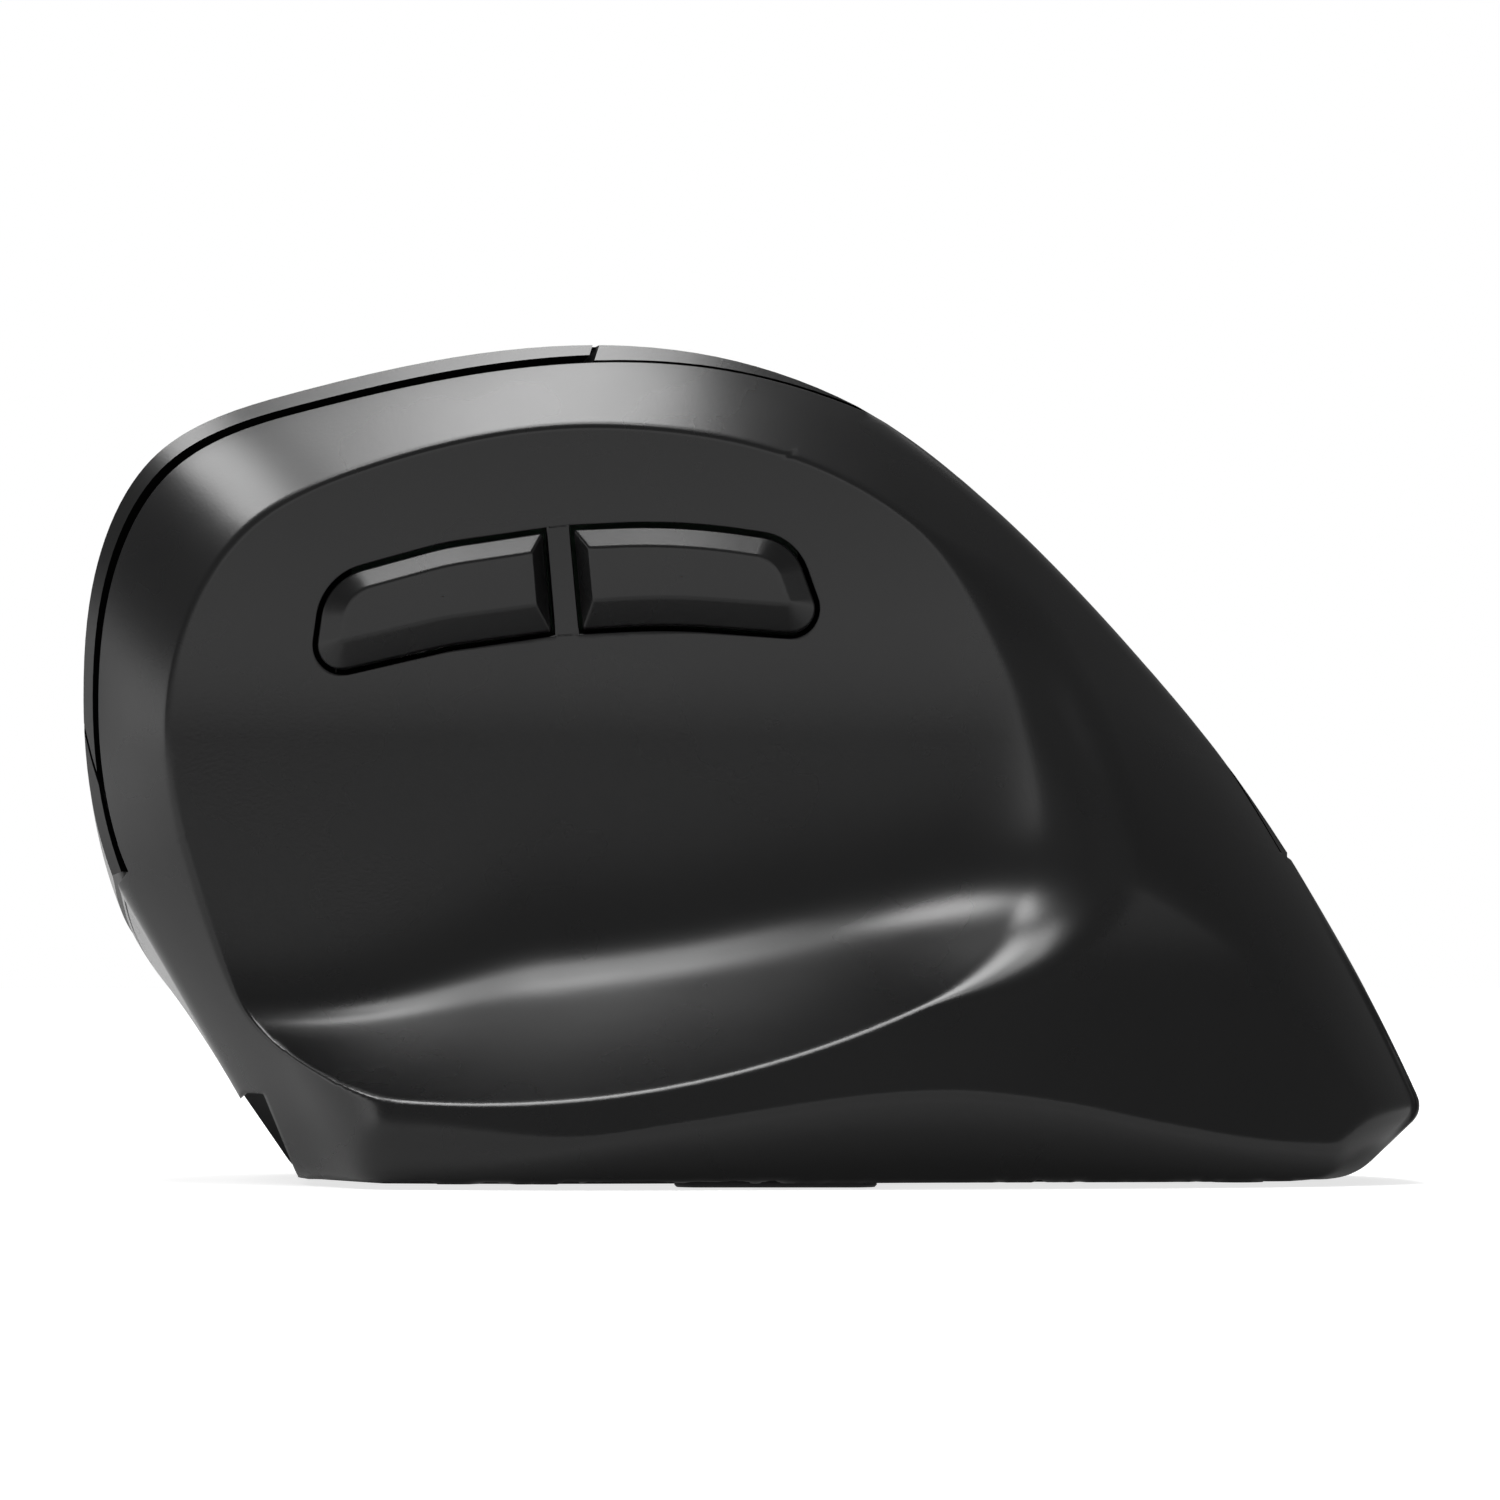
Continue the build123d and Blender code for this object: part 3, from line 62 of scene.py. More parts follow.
# In millimetres: x from finger end to heel, y from thumb to palm, z up
SHELL_FLOOR = 0.5
CREST_Y = -12.0

# Palm side: reach from the crest, share of it that is shell, power curves
PALM_REACH = 51.0
PALM_LAST_SHARE = 0.97
PALM_ANCHOR_X = 8.0
PALM_FOOT_LENGTH = 0.22
PALM_FULLNESS = 1.22
PALM_STEEPNESS = 1.16
PLAN_ROUNDNESS = 2.4
PALM_TILT = math.radians(55)

# Outline (x, z) from heel to finger end, and x of its base corners
DOME = [
    (60.0, 6.6), (53.9, 19.1), (42.7, 37.0), (27.6, 54.9), (11.5, 68.3), (-4.7, 74.2),
    (-22.2, 74.5), (-41.0, 70.7), (-53.5, 65.0), (-58.7, 54.9), (-59.8, 45.1), (-58.7, 32.5),
    (-57.2, 27.5),
]
DOME_ENDS = (53.6, -41.7)

# Bevel: inner edge, full depth, bulge and the share where it ends
BEVEL = [
    (50.0, 6.6), (42.0, 15.5), (29.0, 25.5), (14.5, 36.0), (2.0, 44.8), (-6.0, 48.4),
    (-17.0, 49.0), (-28.0, 47.5), (-35.0, 44.5), (-38.0, 41.0), (-38.8, 37.5), (-37.0, 32.5),
    (-34.5, 28.5),
]
BEVEL_ENDS = (46.0, -31.5)
BEVEL_DEPTH = 26.0
BEVEL_BULGE = 1.75
BEVEL_BULGE_END = 0.42
OFF_BEVEL_Y = -60.0

# Thumb wall: plan of its lip, and its lean
LIP_Y = -36.0
LIP = [
    (-75, 12.0), (-52, 5.6), (-38, 2.2), (-10, 0.0), (18, 1.8), (38, 7.5), (50, 13.5),
    (60, 21.5), (75, 36.0),
]
WALL_LEAN = 0.25
LEAN_TOP = 20.0
LEAN_TURN = 1.5

# Skirt: height of the crease along x, and undercut
CREASE = [
    (-50, 4.1), (-29, 4.0), (-17, 4.2), (-5, 5.9), (9, 8.0), (18, 8.5), (27, 7.5), (36, 5.6),
    (45, 4.0), (54, 3.4), (66, 3.4),
]
SKIRT_UNDERCUT = 0.8

# Scoop: deepest place, (depth, length) of its curves, ledge at its foot
BOWL_Y = -13.7
BOWL_MIDDLE = (-12.0, 40.0)
BOWL_FRONT = (7.5, 40.0)
BOWL_REAR = (10.5, 41.0)
BOWL_REAR_POWER = 3.4
BOWL_TOP = (5.2, 27.0)
LEDGE_LOW = (-24.0, 7.5)
LEDGE_CLIMB = 0.0055
LEDGE_SLOPE = 2.2
LEDGE_STEEPER = (-18.0, 28.0, 1.6)
LEDGE_SOFTNESS = 6.3

# Rear and front as (begin, length), widths of meetings as (plain, more at the rear, more at the front)
REAR_BLEND = (14, 14)
FRONT_BLEND = (-12, 20)
WALL_SOFTNESS = (1.2, 6.8, 6)
SCOOP_SOFTNESS = (0.6, 6.4, 0)
SKIRT_SOFTNESS = (0.6, 0, 3)

# Palm side's seams: plan, rear (down the slope), low
SEAM_PLAN = [
    (-75, -13.6), (-20, -13.6), (0, -12.8), (10.5, -12.0), (25, -10.5), (36, -11.0),
    (44, -12.3), (50, -13.5), (75, -15.0),
]
SEAM_REAR = [
    (-90, 13), (-30, 13), (-8, 12.5), (12, 9), (28, 0), (39, -13), (46, -26), (50, -40), (54, -95),
]
SEAM_LOW_Z = 26.65
SEAM_FALL = 0.3
SEAM_SAMPLES = 800

# Side buttons: corners (x, z, radius) and the rim's width on each edge
FORWARD_OUTLINE = [
    (-17.5, 48.9, 0), (-27.0, 47.6, 20), (-39.8, 44.6, 2.7), (-38.4, 54.3, 5.5), (-27.5, 57.3, 30),
    (-18.3, 58.7, 0),
]
BACK_OUTLINE = [
    (-16.5, 58.9, 0), (-6.5, 59.3, 60), (3.9, 57.8, 5.0), (7.3, 48.4, 2.7), (-7.5, 49.5, 60),
    (-15.6, 49.0, 0),
]
FORWARD_RIM = (3.1, 3.1, 2.6, 2.1, 2.1, 1.6)
BACK_RIM = (2.2, 2.2, 2.6, 3.1, 3.1, 1.7)
SMALLEST_RADIUS = 0.2
PAD_PROBE = (2.0, 1.0)
PAD_STEP = 0.6

# Rows of a button: (share from foot to brow, drop), then (share from centre to brow, drop)
PAD_SLOPE = (
    (0, 2.3), (0, 1.2), (0, 0.14), (0.02, 0.04), (0.06, 0), (0.1, 0), (0.3, 0), (0.6, 0), (0.88, 0),
    (0.95, 0),
)
PAD_TOP = ((1.0, 0.03), (0.95, 0), (0.9, 0), (0.6, 0), (0.3, 0), (0.01, 0))

# Bridge between the buttons: low and high corner of each side
BRIDGE = np.array([
    [FORWARD_OUTLINE[0][:2], FORWARD_OUTLINE[-1][:2]],
    [BACK_OUTLINE[-1][:2], BACK_OUTLINE[0][:2]],
])
BRIDGE_SLACK = 0.02
BRIDGE_ROWS = 10
BRIDGE_COLUMNS = 70

# Socket's recess: top and foot (x, z) of its wall, and its palm end
RECESS_TOP = (-43.6, 8.2)
RECESS_FOOT = (-40.5, 0.5)
RECESS_PALM_Y = 2.0

# Socket: (y, z), size, (inset, height) of the rim's rows, well, and (share, height) of the tongue's
SOCKET_PLACE = (-7.0, 6.0)
SOCKET_SIZE = (8.94, 3.2)
SOCKET_RIM = ((0, 0.01), (0.02, 0.1), (0.08, 0.14), (0.24, 0.14), (0.3, 0.1), (0.32, 0.03))
WELL_INSET = 0.3
WELL_SHARES = (1, 0.5, 0.02)
WELL_HEIGHT = 0.03
TONGUE_SIZE = (6.7, 0.7)
TONGUE_RADIUS = 0.2
TONGUE_ROWS = ((1, 0.03), (1, 0.08), (0.97, 0.1), (0.02, 0.1))

# Gap behind the left click plate: x, turn down the slope and slant, sides, shares of the reach, depth
GAP_X = -19.0
GAP_TURN = -63.5
GAP_SLANT = 1.1
GAP_SIDES = (-0.57, 0.6)
GAP_SHARES = (0.003, 0.1)
GAP_DEPTH = 0.12

# Middle of the thumb side's rays
HUB = np.array((-17.0, 53.9))

# Where the drawing's y meets the frame, which has its origin under the middle of the mouse
SET_DOWN_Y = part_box("main_shell")[1][1] / MM - (CREST_Y + PALM_REACH * PALM_LAST_SHARE)


def chord_spline(points):
    """Cubic curve through the points, with knots by chord length and end slopes from the cubic
    through the last four points at each end. Returns a function of shares from 0 to 1."""
    at = np.array(points, float)
    step = np.hypot(*np.diff(at, axis=0).T)
    knot = np.concatenate([[0], np.cumsum(step)]) / step.sum()
    gap = np.diff(knot)
    rise = np.diff(at, axis=0) / gap[:, None]
    count = len(at)
    system = np.eye(count)
    known = np.zeros_like(at)
    for end in (0, -1):
        near = slice(0, 4) if end == 0 else slice(-4, None)
        for axis in (0, 1):
            cubic = np.polyfit(knot[near], at[near, axis], 3)
            known[end, axis] = np.polyval(np.polyder(cubic), knot[end])
    inside = np.arange(1, count - 1)
    system[inside, inside - 1] = gap[1:]
    system[inside, inside] = 2 * (gap[1:] + gap[:-1])
    system[inside, inside + 1] = gap[:-1]
    known[1:-1] = 3 * (gap[1:, None] * rise[:-1] + gap[:-1, None] * rise[1:])
    slope = np.linalg.solve(system, known)

    def curve(share):
        share = np.asarray(share, float)
        i = np.clip(np.searchsorted(knot, share, side="right") - 1, 0, count - 2)
        t = ((share - knot[i]) / gap[i])[..., None]
        h = gap[i][..., None]
        return (
            (2 * t**3 - 3 * t**2 + 1) * at[i] + (t**3 - 2 * t**2 + t) * h * slope[i]
            + (3 * t**2 - 2 * t**3) * at[i + 1] + (t**3 - t**2) * h * slope[i + 1]
        )

    return curve


def through(x, points):
    """Value at x on the smooth curve through the points: cubic pieces with slopes from both neighbours."""
    px, pv = np.array(points, float).T
    i = np.clip(np.searchsorted(px, x) - 1, 1, len(px) - 3)
    span = px[i + 1] - px[i]
    t = (x - px[i]) / span
    mb = (pv[i + 1] - pv[i - 1]) / (px[i + 1] - px[i - 1]) * span
    mc = (pv[i + 2] - pv[i]) / (px[i + 2] - px[i]) * span
    return (
        (2 * t**3 - 3 * t**2 + 1) * pv[i] + (t**3 - 2 * t**2 + t) * mb
        + (3 * t**2 - 2 * t**3) * pv[i + 1] + (t**3 - t**2) * mc
    )


def smooth_step(t):
    """0 below 0, 1 above 1 and a cubic between."""
    t = np.clip(t, 0, 1)
    return t * t * (3 - 2 * t)


def soft_max(a, b, k):
    """Larger of two heights, with their meeting rounded over a band of width k."""
    near = np.maximum(k - np.abs(a - b), 0)
    return np.maximum(a, b) + near**2 / (4 * k)


def mix(a, b, share):
    """Point at this share of the straight way from a to b."""
    return a * (1 - share) + b * share


def unit(way):
    """The same way with a length of 1, or none where there is no way."""
    return way / np.maximum(np.linalg.norm(way, axis=-1, keepdims=True), TINY)


def curve_through(start, corner, end, share):
    """Quadratic curve from start to end that heads for the corner, at shares of its length."""
    return (1 - share) ** 2 * start + 2 * share * (1 - share) * corner + share**2 * end


def toward(start, end, reach):
    """Point at a reach from the start, on the straight way to the end."""
    return start + unit(end - start) * reach


def wall_y(x, z):
    """Outer thumb wall: the lip's plan curve, leaning in with height up to LEAN_TOP, then upright."""
    leaning = z - LEAN_TURN * np.logaddexp(0, (z - LEAN_TOP) / LEAN_TURN)
    return LIP_Y + through(x, LIP) + WALL_LEAN * leaning


def scoop_y(x, z):
    """Thumb scoop: a bowl of power curves and a sloping ledge, joined by a soft minimum."""
    ahead = np.maximum(0, BOWL_MIDDLE[0] - x) / BOWL_FRONT[1]
    behind = np.maximum(0, x - BOWL_MIDDLE[0]) / BOWL_REAR[1]
    above = np.maximum(0, z - BOWL_MIDDLE[1]) / BOWL_TOP[1]
    bowl = BOWL_Y - BOWL_FRONT[0] * ahead**2 - BOWL_REAR[0] * behind**BOWL_REAR_POWER
    bowl = bowl - BOWL_TOP[0] * above**2
    rim_z = LEDGE_LOW[1] + LEDGE_CLIMB * (x - LEDGE_LOW[0]) ** 2
    begin, length, more = LEDGE_STEEPER
    ledge = wall_y(x, rim_z) + (LEDGE_SLOPE + more * smooth_step((begin - x) / length)) * (z - rim_z)
    return np.minimum(bowl, ledge) - LEDGE_SOFTNESS * np.log1p(np.exp(-np.abs(bowl - ledge) / LEDGE_SOFTNESS))


def on_scoop(spot):
    """Points of the scoop at these (x, z) spots."""
    return np.stack([spot[..., 0], scoop_y(spot[..., 0], spot[..., 1]), spot[..., 1]], axis=-1)


def skirt_y(x, z):
    """Undercut skirt: it draws in below the crease in proportion to the depth below it."""
    z_crease = through(x, CREASE)
    return wall_y(x, z_crease) + SKIRT_UNDERCUT * (z_crease - z)


# Points on a side section's stretches, reach of its rounded corners (heel top, chin, toe, heel base)
RING_COUNTS = {"dome": 330, "chin": 80, "base": 130, "heel": 14, "corner": 12}
CORNER_REACH = (1.6, 2.5, 2.0, 2.4)
CURVE_SAMPLES = 4000
CHIN_FIRST = RING_COUNTS["dome"] + RING_COUNTS["corner"]
BASE_FIRST = CHIN_FIRST + RING_COUNTS["chin"] + RING_COUNTS["corner"]
BASE_LAST = BASE_FIRST + RING_COUNTS["base"]


def side_ring(points, ends):
    """Side section as one closed row of points: dome curve, chin, base and heel as straight lines, with
    quadratic curves at the corners. The same row number stands for the same place on every section."""
    curve = chord_spline(points)
    heel_top, chin_top = np.array(points[0], float), np.array(points[-1], float)
    heel_base, toe_base = [np.array((x, SHELL_FLOOR)) for x in ends]
    shares = np.linspace(0, 1, CURVE_SAMPLES)
    run = np.concatenate([[0], np.cumsum(np.hypot(*np.diff(curve(shares), axis=0).T))])
    trim, turn, toe, heel = CORNER_REACH
    start = np.interp(trim, run, shares)
    stop = np.interp(run[-1] - turn, run, shares)
    bend = np.linspace(0, 1, RING_COUNTS["corner"], endpoint=False)[:, None]

    def straight(a, b, cut_a, cut_b, count):
        t = np.linspace(0, 1, count, endpoint=False)[:, None]
        return mix(toward(a, b, cut_a), toward(b, a, cut_b), t)

    def rounded(before, corner, after, reach):
        return curve_through(toward(corner, before, reach), corner, toward(corner, after, reach), bend)

    return np.concatenate([
        curve(np.linspace(start, stop, RING_COUNTS["dome"], endpoint=False)),
        curve_through(curve(stop), chin_top, toward(chin_top, toe_base, turn), bend),
        straight(chin_top, toe_base, turn, toe, RING_COUNTS["chin"]),
        rounded(chin_top, toe_base, heel_base, toe),
        straight(toe_base, heel_base, toe, heel, RING_COUNTS["base"]),
        rounded(toe_base, heel_base, heel_top, heel),
        straight(heel_base, heel_top, heel, trim, RING_COUNTS["heel"]),
        curve_through(toward(heel_top, heel_base, trim), heel_top, curve(start), bend),
    ])


NEAR_RING = side_ring(DOME, DOME_ENDS)
FAR_RING = side_ring(BEVEL, BEVEL_ENDS)
SEAM_PLAN_LINE = chord_spline(SEAM_PLAN)(np.linspace(0, 1, SEAM_SAMPLES))
SEAM_REAR_LINE = chord_spline(SEAM_REAR)(np.linspace(0, 1, SEAM_SAMPLES))

# Search on the bevel: first tries, Newton's steps and their limits, and largest (miss, share) on it
TRY_ROWS = 5
TRY_SHARES = 14
SPOTS_AT_ONCE = 3000
NEWTON_STEPS = 9
ROW_LIMIT = 8
SHARE_LIMIT = 0.3
OFF_BEVEL = (0.1, 1.05)


def on_ring(ring, place):
    """Point on a closed row at a place given in point numbers, and its slope there."""
    count = len(ring)
    i = np.floor(place).astype(int) % count
    t = (place - np.floor(place))[:, None]
    slopes = across(ring) / 2
    after = (i + 1) % count
    return mix(ring[i], ring[after], t), mix(slopes[i], slopes[after], t)


def across(row):
    """Way from the point before each point of a closed row to the one after it."""
    return np.roll(row, -1, axis=0) - np.roll(row, 1, axis=0)


def down_bevel(share):
    """Points (x, z) of every ruling of the bevel at these shares, from the outline to the inner edge."""
    return mix(NEAR_RING, FAR_RING, share[:, None])


def on_ruling(place, share):
    """Point at a share of the ruling at this place, its slope along the rings, and the way down."""
    near, near_way = on_ring(NEAR_RING, place)
    far, far_way = on_ring(FAR_RING, place)
    return mix(near, far, share[:, None]), mix(near_way, far_way, share[:, None]), far - near


def bevel_y(x, z):
    """Bevel round the thumb side: the ruled surface between the outline at the crest and the inner
    ring at full depth, a little fuller near the crest by a cubic bump. The ruling through each (x, z)
    is found by Newton's steps."""
    spots = np.stack([x.ravel(), z.ravel()], axis=1)
    rows = np.arange(0, len(NEAR_RING), TRY_ROWS)
    shares = np.linspace(0, 1, TRY_SHARES)
    tries = mix(NEAR_RING[rows][:, None], FAR_RING[rows][:, None], shares[None, :, None]).reshape(-1, 2)
    best = np.concatenate([
        np.argmin(((part[:, None] - tries[None]) ** 2).sum(axis=2), axis=1)
        for part in np.array_split(spots, max(1, len(spots) // SPOTS_AT_ONCE))
    ])
    place = rows[best // len(shares)].astype(float)
    share = shares[best % len(shares)]
    for step in range(NEWTON_STEPS):
        point, along, down = on_ruling(place, share)
        miss = spots - point
        det = along[:, 0] * down[:, 1] - along[:, 1] * down[:, 0]
        det = np.where(np.abs(det) < 1e-6, 1e-6, det)
        row_step = (miss[:, 0] * down[:, 1] - miss[:, 1] * down[:, 0]) / det
        share_step = (along[:, 0] * miss[:, 1] - along[:, 1] * miss[:, 0]) / det
        place = place + np.clip(row_step, -ROW_LIMIT, ROW_LIMIT)
        share = share + np.clip(share_step, -SHARE_LIMIT, SHARE_LIMIT)
    miss = np.hypot(*(spots - on_ruling(place, share)[0]).T)
    on_bevel = (miss < OFF_BEVEL[0]) & (share < OFF_BEVEL[1])
    t = np.clip(share / BEVEL_BULGE_END, 0, 1)
    bulge = BEVEL_BULGE * t * (1 - t) ** 2
    return np.where(on_bevel, CREST_Y - BEVEL_DEPTH * share - bulge, OFF_BEVEL_Y).reshape(x.shape)


def thumb_y(x, z):
    """Thumb side: the deepest of bevel, wall, scoop and skirt. Bevel and wall run into each other softly,
    the scoop's edge is crisp ahead and soft to the rear."""
    rear = smooth_step((x - REAR_BLEND[0]) / REAR_BLEND[1])
    front = smooth_step((FRONT_BLEND[0] - x) / FRONT_BLEND[1])
    face = bevel_y(x, z)
    meetings = ((wall_y, WALL_SOFTNESS), (scoop_y, SCOOP_SOFTNESS), (skirt_y, SKIRT_SOFTNESS))
    for surface, (plain, to_rear, to_front) in meetings:
        face = soft_max(face, surface(x, z), plain + to_rear * rear + to_front * front)
    return face


def palm_point(ring, share):
    """Palm side: the side outline, scaled along and down by power curves of the share of the reach."""
    arc = (1 - share**PLAN_ROUNDNESS) ** (1 / PLAN_ROUNDNESS)
    length = PALM_FOOT_LENGTH + (1 - PALM_FOOT_LENGTH) * arc
    height = (1 - share**PALM_FULLNESS) ** (1 / PALM_STEEPNESS)
    x = PALM_ANCHOR_X + (ring[..., 0] - PALM_ANCHOR_X) * length
    z = SHELL_FLOOR + (ring[..., 1] - SHELL_FLOOR) * height
    return np.stack([x, CREST_Y + PALM_REACH * share + 0 * x, z], axis=-1)


def down_slope(y, z):
    """Distance in the palm slope's own direction, which leans by PALM_TILT."""
    return y * math.cos(PALM_TILT) - z * math.sin(PALM_TILT)


def recess_wall_x(z):
    """Wall of the socket's recess: a straight slant from its top to its foot."""
    fall = RECESS_TOP[1] - RECESS_FOOT[1]
    return RECESS_TOP[0] + (RECESS_TOP[1] - z) * (RECESS_FOOT[0] - RECESS_TOP[0]) / fall


def inside_zone(point):
    """How far a point is inside the palm zone: over the plan seam, and ahead of the rear seam and above
    the low one."""
    x, y, z = np.moveaxis(point, -1, 0)
    plan = y - np.interp(x, SEAM_PLAN_LINE[:, 0], SEAM_PLAN_LINE[:, 1])
    rear = np.interp(x, SEAM_REAR_LINE[:, 0], SEAM_REAR_LINE[:, 1]) - down_slope(y, z)
    low = z - SEAM_LOW_Z + SEAM_FALL * (y - CREST_Y)
    return plan, np.minimum(rear, low)


def cornered(outline, insets, corner_count=12, edge_count=16):
    """Closed loop from (x, z, radius) corners: every edge moved in by its inset, every corner an arc.
    Loops made from one outline match point for point."""
    at = np.array([(x, z) for x, z, radius in outline])
    radius = np.array([radius for x, z, radius in outline], float)
    insets = np.broadcast_to(np.array(insets, float), len(at))
    ahead = unit(np.roll(at, -1, axis=0) - at)
    before = np.roll(ahead, 1, axis=0)
    bend = before[:, 0] * ahead[:, 1] - before[:, 1] * ahead[:, 0]
    inward = np.sign(bend.sum()) * np.stack([-ahead[:, 1], ahead[:, 0]], axis=1)
    on_edge = at + inward * insets[:, None]
    apart = on_edge - np.roll(on_edge, 1, axis=0)
    along = (apart[:, 0] * ahead[:, 1] - apart[:, 1] * ahead[:, 0]) / bend
    corner = np.roll(on_edge, 1, axis=0) + along[:, None] * before
    outer_turn = np.sign(bend) == np.sign(bend.sum())
    drawn_in = (insets + np.roll(insets, 1)) / 2
    radius = np.where(outer_turn, radius - drawn_in, radius + drawn_in)
    radius = np.maximum(radius, SMALLEST_RADIUS)[:, None]
    angle = np.arcsin(np.clip(np.abs(bend), 0, 1))
    angle = np.where((before * ahead).sum(axis=1) < 0, math.pi - angle, angle)[:, None]
    centre = corner + unit(ahead - before) * radius / np.cos(angle / 2)
    start = corner - before * radius * np.tan(angle / 2) - centre
    end = corner + ahead * radius * np.tan(angle / 2) - centre
    t = np.linspace(0, 1, corner_count)[None, :, None]
    a = angle[:, :, None]
    arcs = centre[:, None] + (np.sin((1 - t) * a) * start[:, None] + np.sin(t * a) * end[:, None]) / np.sin(a)
    t = np.linspace(0, 1, edge_count + 2)[None, 1:-1, None]
    edges = mix(arcs[:, -1:], np.roll(arcs, -1, axis=0)[:, :1], t)
    return np.concatenate([arcs, edges], axis=1).reshape(-1, 2)


class FinishSettings(bpy.types.PropertyGroup):
    """Colours and gloss of the mouse's outer plastics."""

    shell_colour: FloatVectorProperty(
        name="Shell colour", description="Plastic of the thumb side and skirt",
        subtype="COLOR", size=3, min=0, max=1, default=(0.0022, 0.0022, 0.0024),
    )
    palm_colour: FloatVectorProperty(
        name="Palm colour", description="Plastic of the palm cover and click plates",
        subtype="COLOR", size=3, min=0, max=1, default=(0.003, 0.003, 0.0032),
    )
    shell_gloss: FloatProperty(
        name="Shell roughness", description="Roughness of the outer plastic",
        subtype="FACTOR", min=0, max=1, default=0.28,
    )
    button_gloss: FloatProperty(
        name="Button roughness", description="Roughness of the side buttons",
        subtype="FACTOR", min=0, max=1, default=0.28,
    )


def length(name, description, default):
    """Setting for a size or a place, in metres."""
    return FloatProperty(
        name=name, description=description, subtype="DISTANCE", unit="LENGTH", default=default)


def power(name, description, default):
    """Setting for the strength of a lamp, in watts."""
    return FloatProperty(name=name, description=description, subtype="POWER", default=default)


class ShapeSettings(bpy.types.PropertyGroup):
    """Sizes of edges and side buttons."""

    edge_radius: length("Edge radius", "Rounding of the shell's edges at seams and pockets", 0.15 * MM)
    button_gap: length("Button gap", "Gap round each side button", 0.5 * MM)
    button_rise: length("Button rise", "Height of a side button's face over its foot", 1.3 * MM)


class StageSettings(bpy.types.PropertyGroup):
    """Camera and lights."""

    frame_width: length("Frame width", "Width of the picture at the crest", 0.1341)
    distance: length("Camera distance", "From the camera to the crest", 1.49)
    aim_x: length("Aim along", "Where the camera looks along the mouse", -0.00027)
    aim_z: length("Aim height", "Height of the camera", 0.0388)
    overhead: power("Overhead light", "Strength of the softbox above", 4.8)
    upper: power("Upper light", "Strength of the narrow light before the softbox above", 1.9)
    corner: power("Corner light", "Strength of the softbox above the finger end", 3.6)
    fill: power("Fill light", "Strength of the dim screen behind the camera", 0.5)
    palm: power("Palm side light", "Strength of the light behind the mouse", 1.8)
    front: power("Front light", "Strength of the dim light at the finger end", 0.8)


# Finish of each CAD slot: name, colour, roughness, and what differs from plain plastic
SLOT_FINISHES = {
    "base_plastic": ("base", (0.014, 0.014, 0.015), 0.5, {"grain": 0.5}),
    "inner_plastic": ("inner", (0.05, 0.05, 0.052), 0.5, {}),
    "switch_body": ("switch", (0.02, 0.02, 0.022), 0.4, {}),
    "switch_plunger": ("plunger", (0.55, 0.12, 0.05), 0.4, {}),
    "wheel_hub": ("wheel", (0.03, 0.03, 0.032), 0.3, {}),
    "tyre_rubber": ("tyre", (0.012, 0.012, 0.012), 0.7, {"grain": 0.8}),
    "steel": ("steel", (0.55, 0.55, 0.56), 0.3, {"metallic": 1}),
    "circuit_board": ("board", (0.01, 0.09, 0.03), 0.35, {}),
    "chip": ("chip", (0.015, 0.015, 0.016), 0.45, {}),
    "lens": ("lens", (0.5, 0.5, 0.52), 0.15, {}),
    "cell": ("cell", (0.35, 0.36, 0.4), 0.35, {"metallic": 0.6}),
    "glide": ("glide", (0.06, 0.06, 0.062), 0.45, {}),
    "receiver_body": ("receiver", (0.02, 0.02, 0.021), 0.4, {}),
    "ribbon": ("ribbon", (0.5, 0.47, 0.4), 0.5, {}),
}

# Plastic: size and height of the grain, size and strength of the changes in gloss, and plain shine
GRAIN_SIZE = 0.3
GRAIN_HEIGHT = 0.02
PATCH_SIZE = 14
GLOSS_CHANGE = 0.05
PLAIN_SHINE = 0.5

# Seam walls that face the thumb: y of their normal where they are painted dark and where lit, and the colour of
# that painted shade
GAP_DARK = -0.93
GAP_LIT = -0.88
PAINTED_GAP_SHADE = (0.001, 0.001, 0.001, 1)


def node(tree, kind, values=(), **settings):
    """New shader node with these settings, and with values for its inputs."""
    made = tree.nodes.new("ShaderNode" + kind)
    for name, value in settings.items():
        setattr(made, name, value)
    for name, value in dict(values).items():
        made.inputs[name].default_value = value
    return made


def wire(tree, *links):
    """Links nodes, each link as (node, output, node, input)."""
    for source, output, target, entry in links:
        tree.links.new(source.outputs[output], target.inputs[entry])


def plastic(name, colour, roughness, grain=0.25, metallic=0, shine=PLAIN_SHINE):
    """Moulded finish: fine noise as grain in the height, and slow noise that changes the roughness
    evenly to both sides."""
    made = bpy.data.materials.new(name)
    made.use_nodes = True
    tree = made.node_tree
    shader = tree.nodes["Principled BSDF"]
    shader.inputs["Base Color"].default_value = (*colour, 1)
    shader.inputs["Metallic"].default_value = metallic
    shader.inputs["Specular IOR Level"].default_value = shine
    place = node(tree, "TexCoord")
    fine = node(tree, "TexNoise", {"Scale": 1 / (GRAIN_SIZE * MM), "Detail": 3})
    bump = node(tree, "Bump", {"Strength": grain, "Distance": GRAIN_HEIGHT * MM})
    slow = node(tree, "TexNoise", {"Scale": 1 / (PATCH_SIZE * MM), "Detail": 4})
    gloss = node(tree, "MapRange", {"To Min": roughness - GLOSS_CHANGE, "To Max": roughness + GLOSS_CHANGE})
    wire(
        tree, (place, "Object", fine, "Vector"), (place, "Object", slow, "Vector"),
        (fine, "Fac", bump, "Height"), (bump, "Normal", shader, "Normal"),
        (slow, "Fac", gloss, "Value"), (gloss, "Result", shader, "Roughness"),
    )
    return made


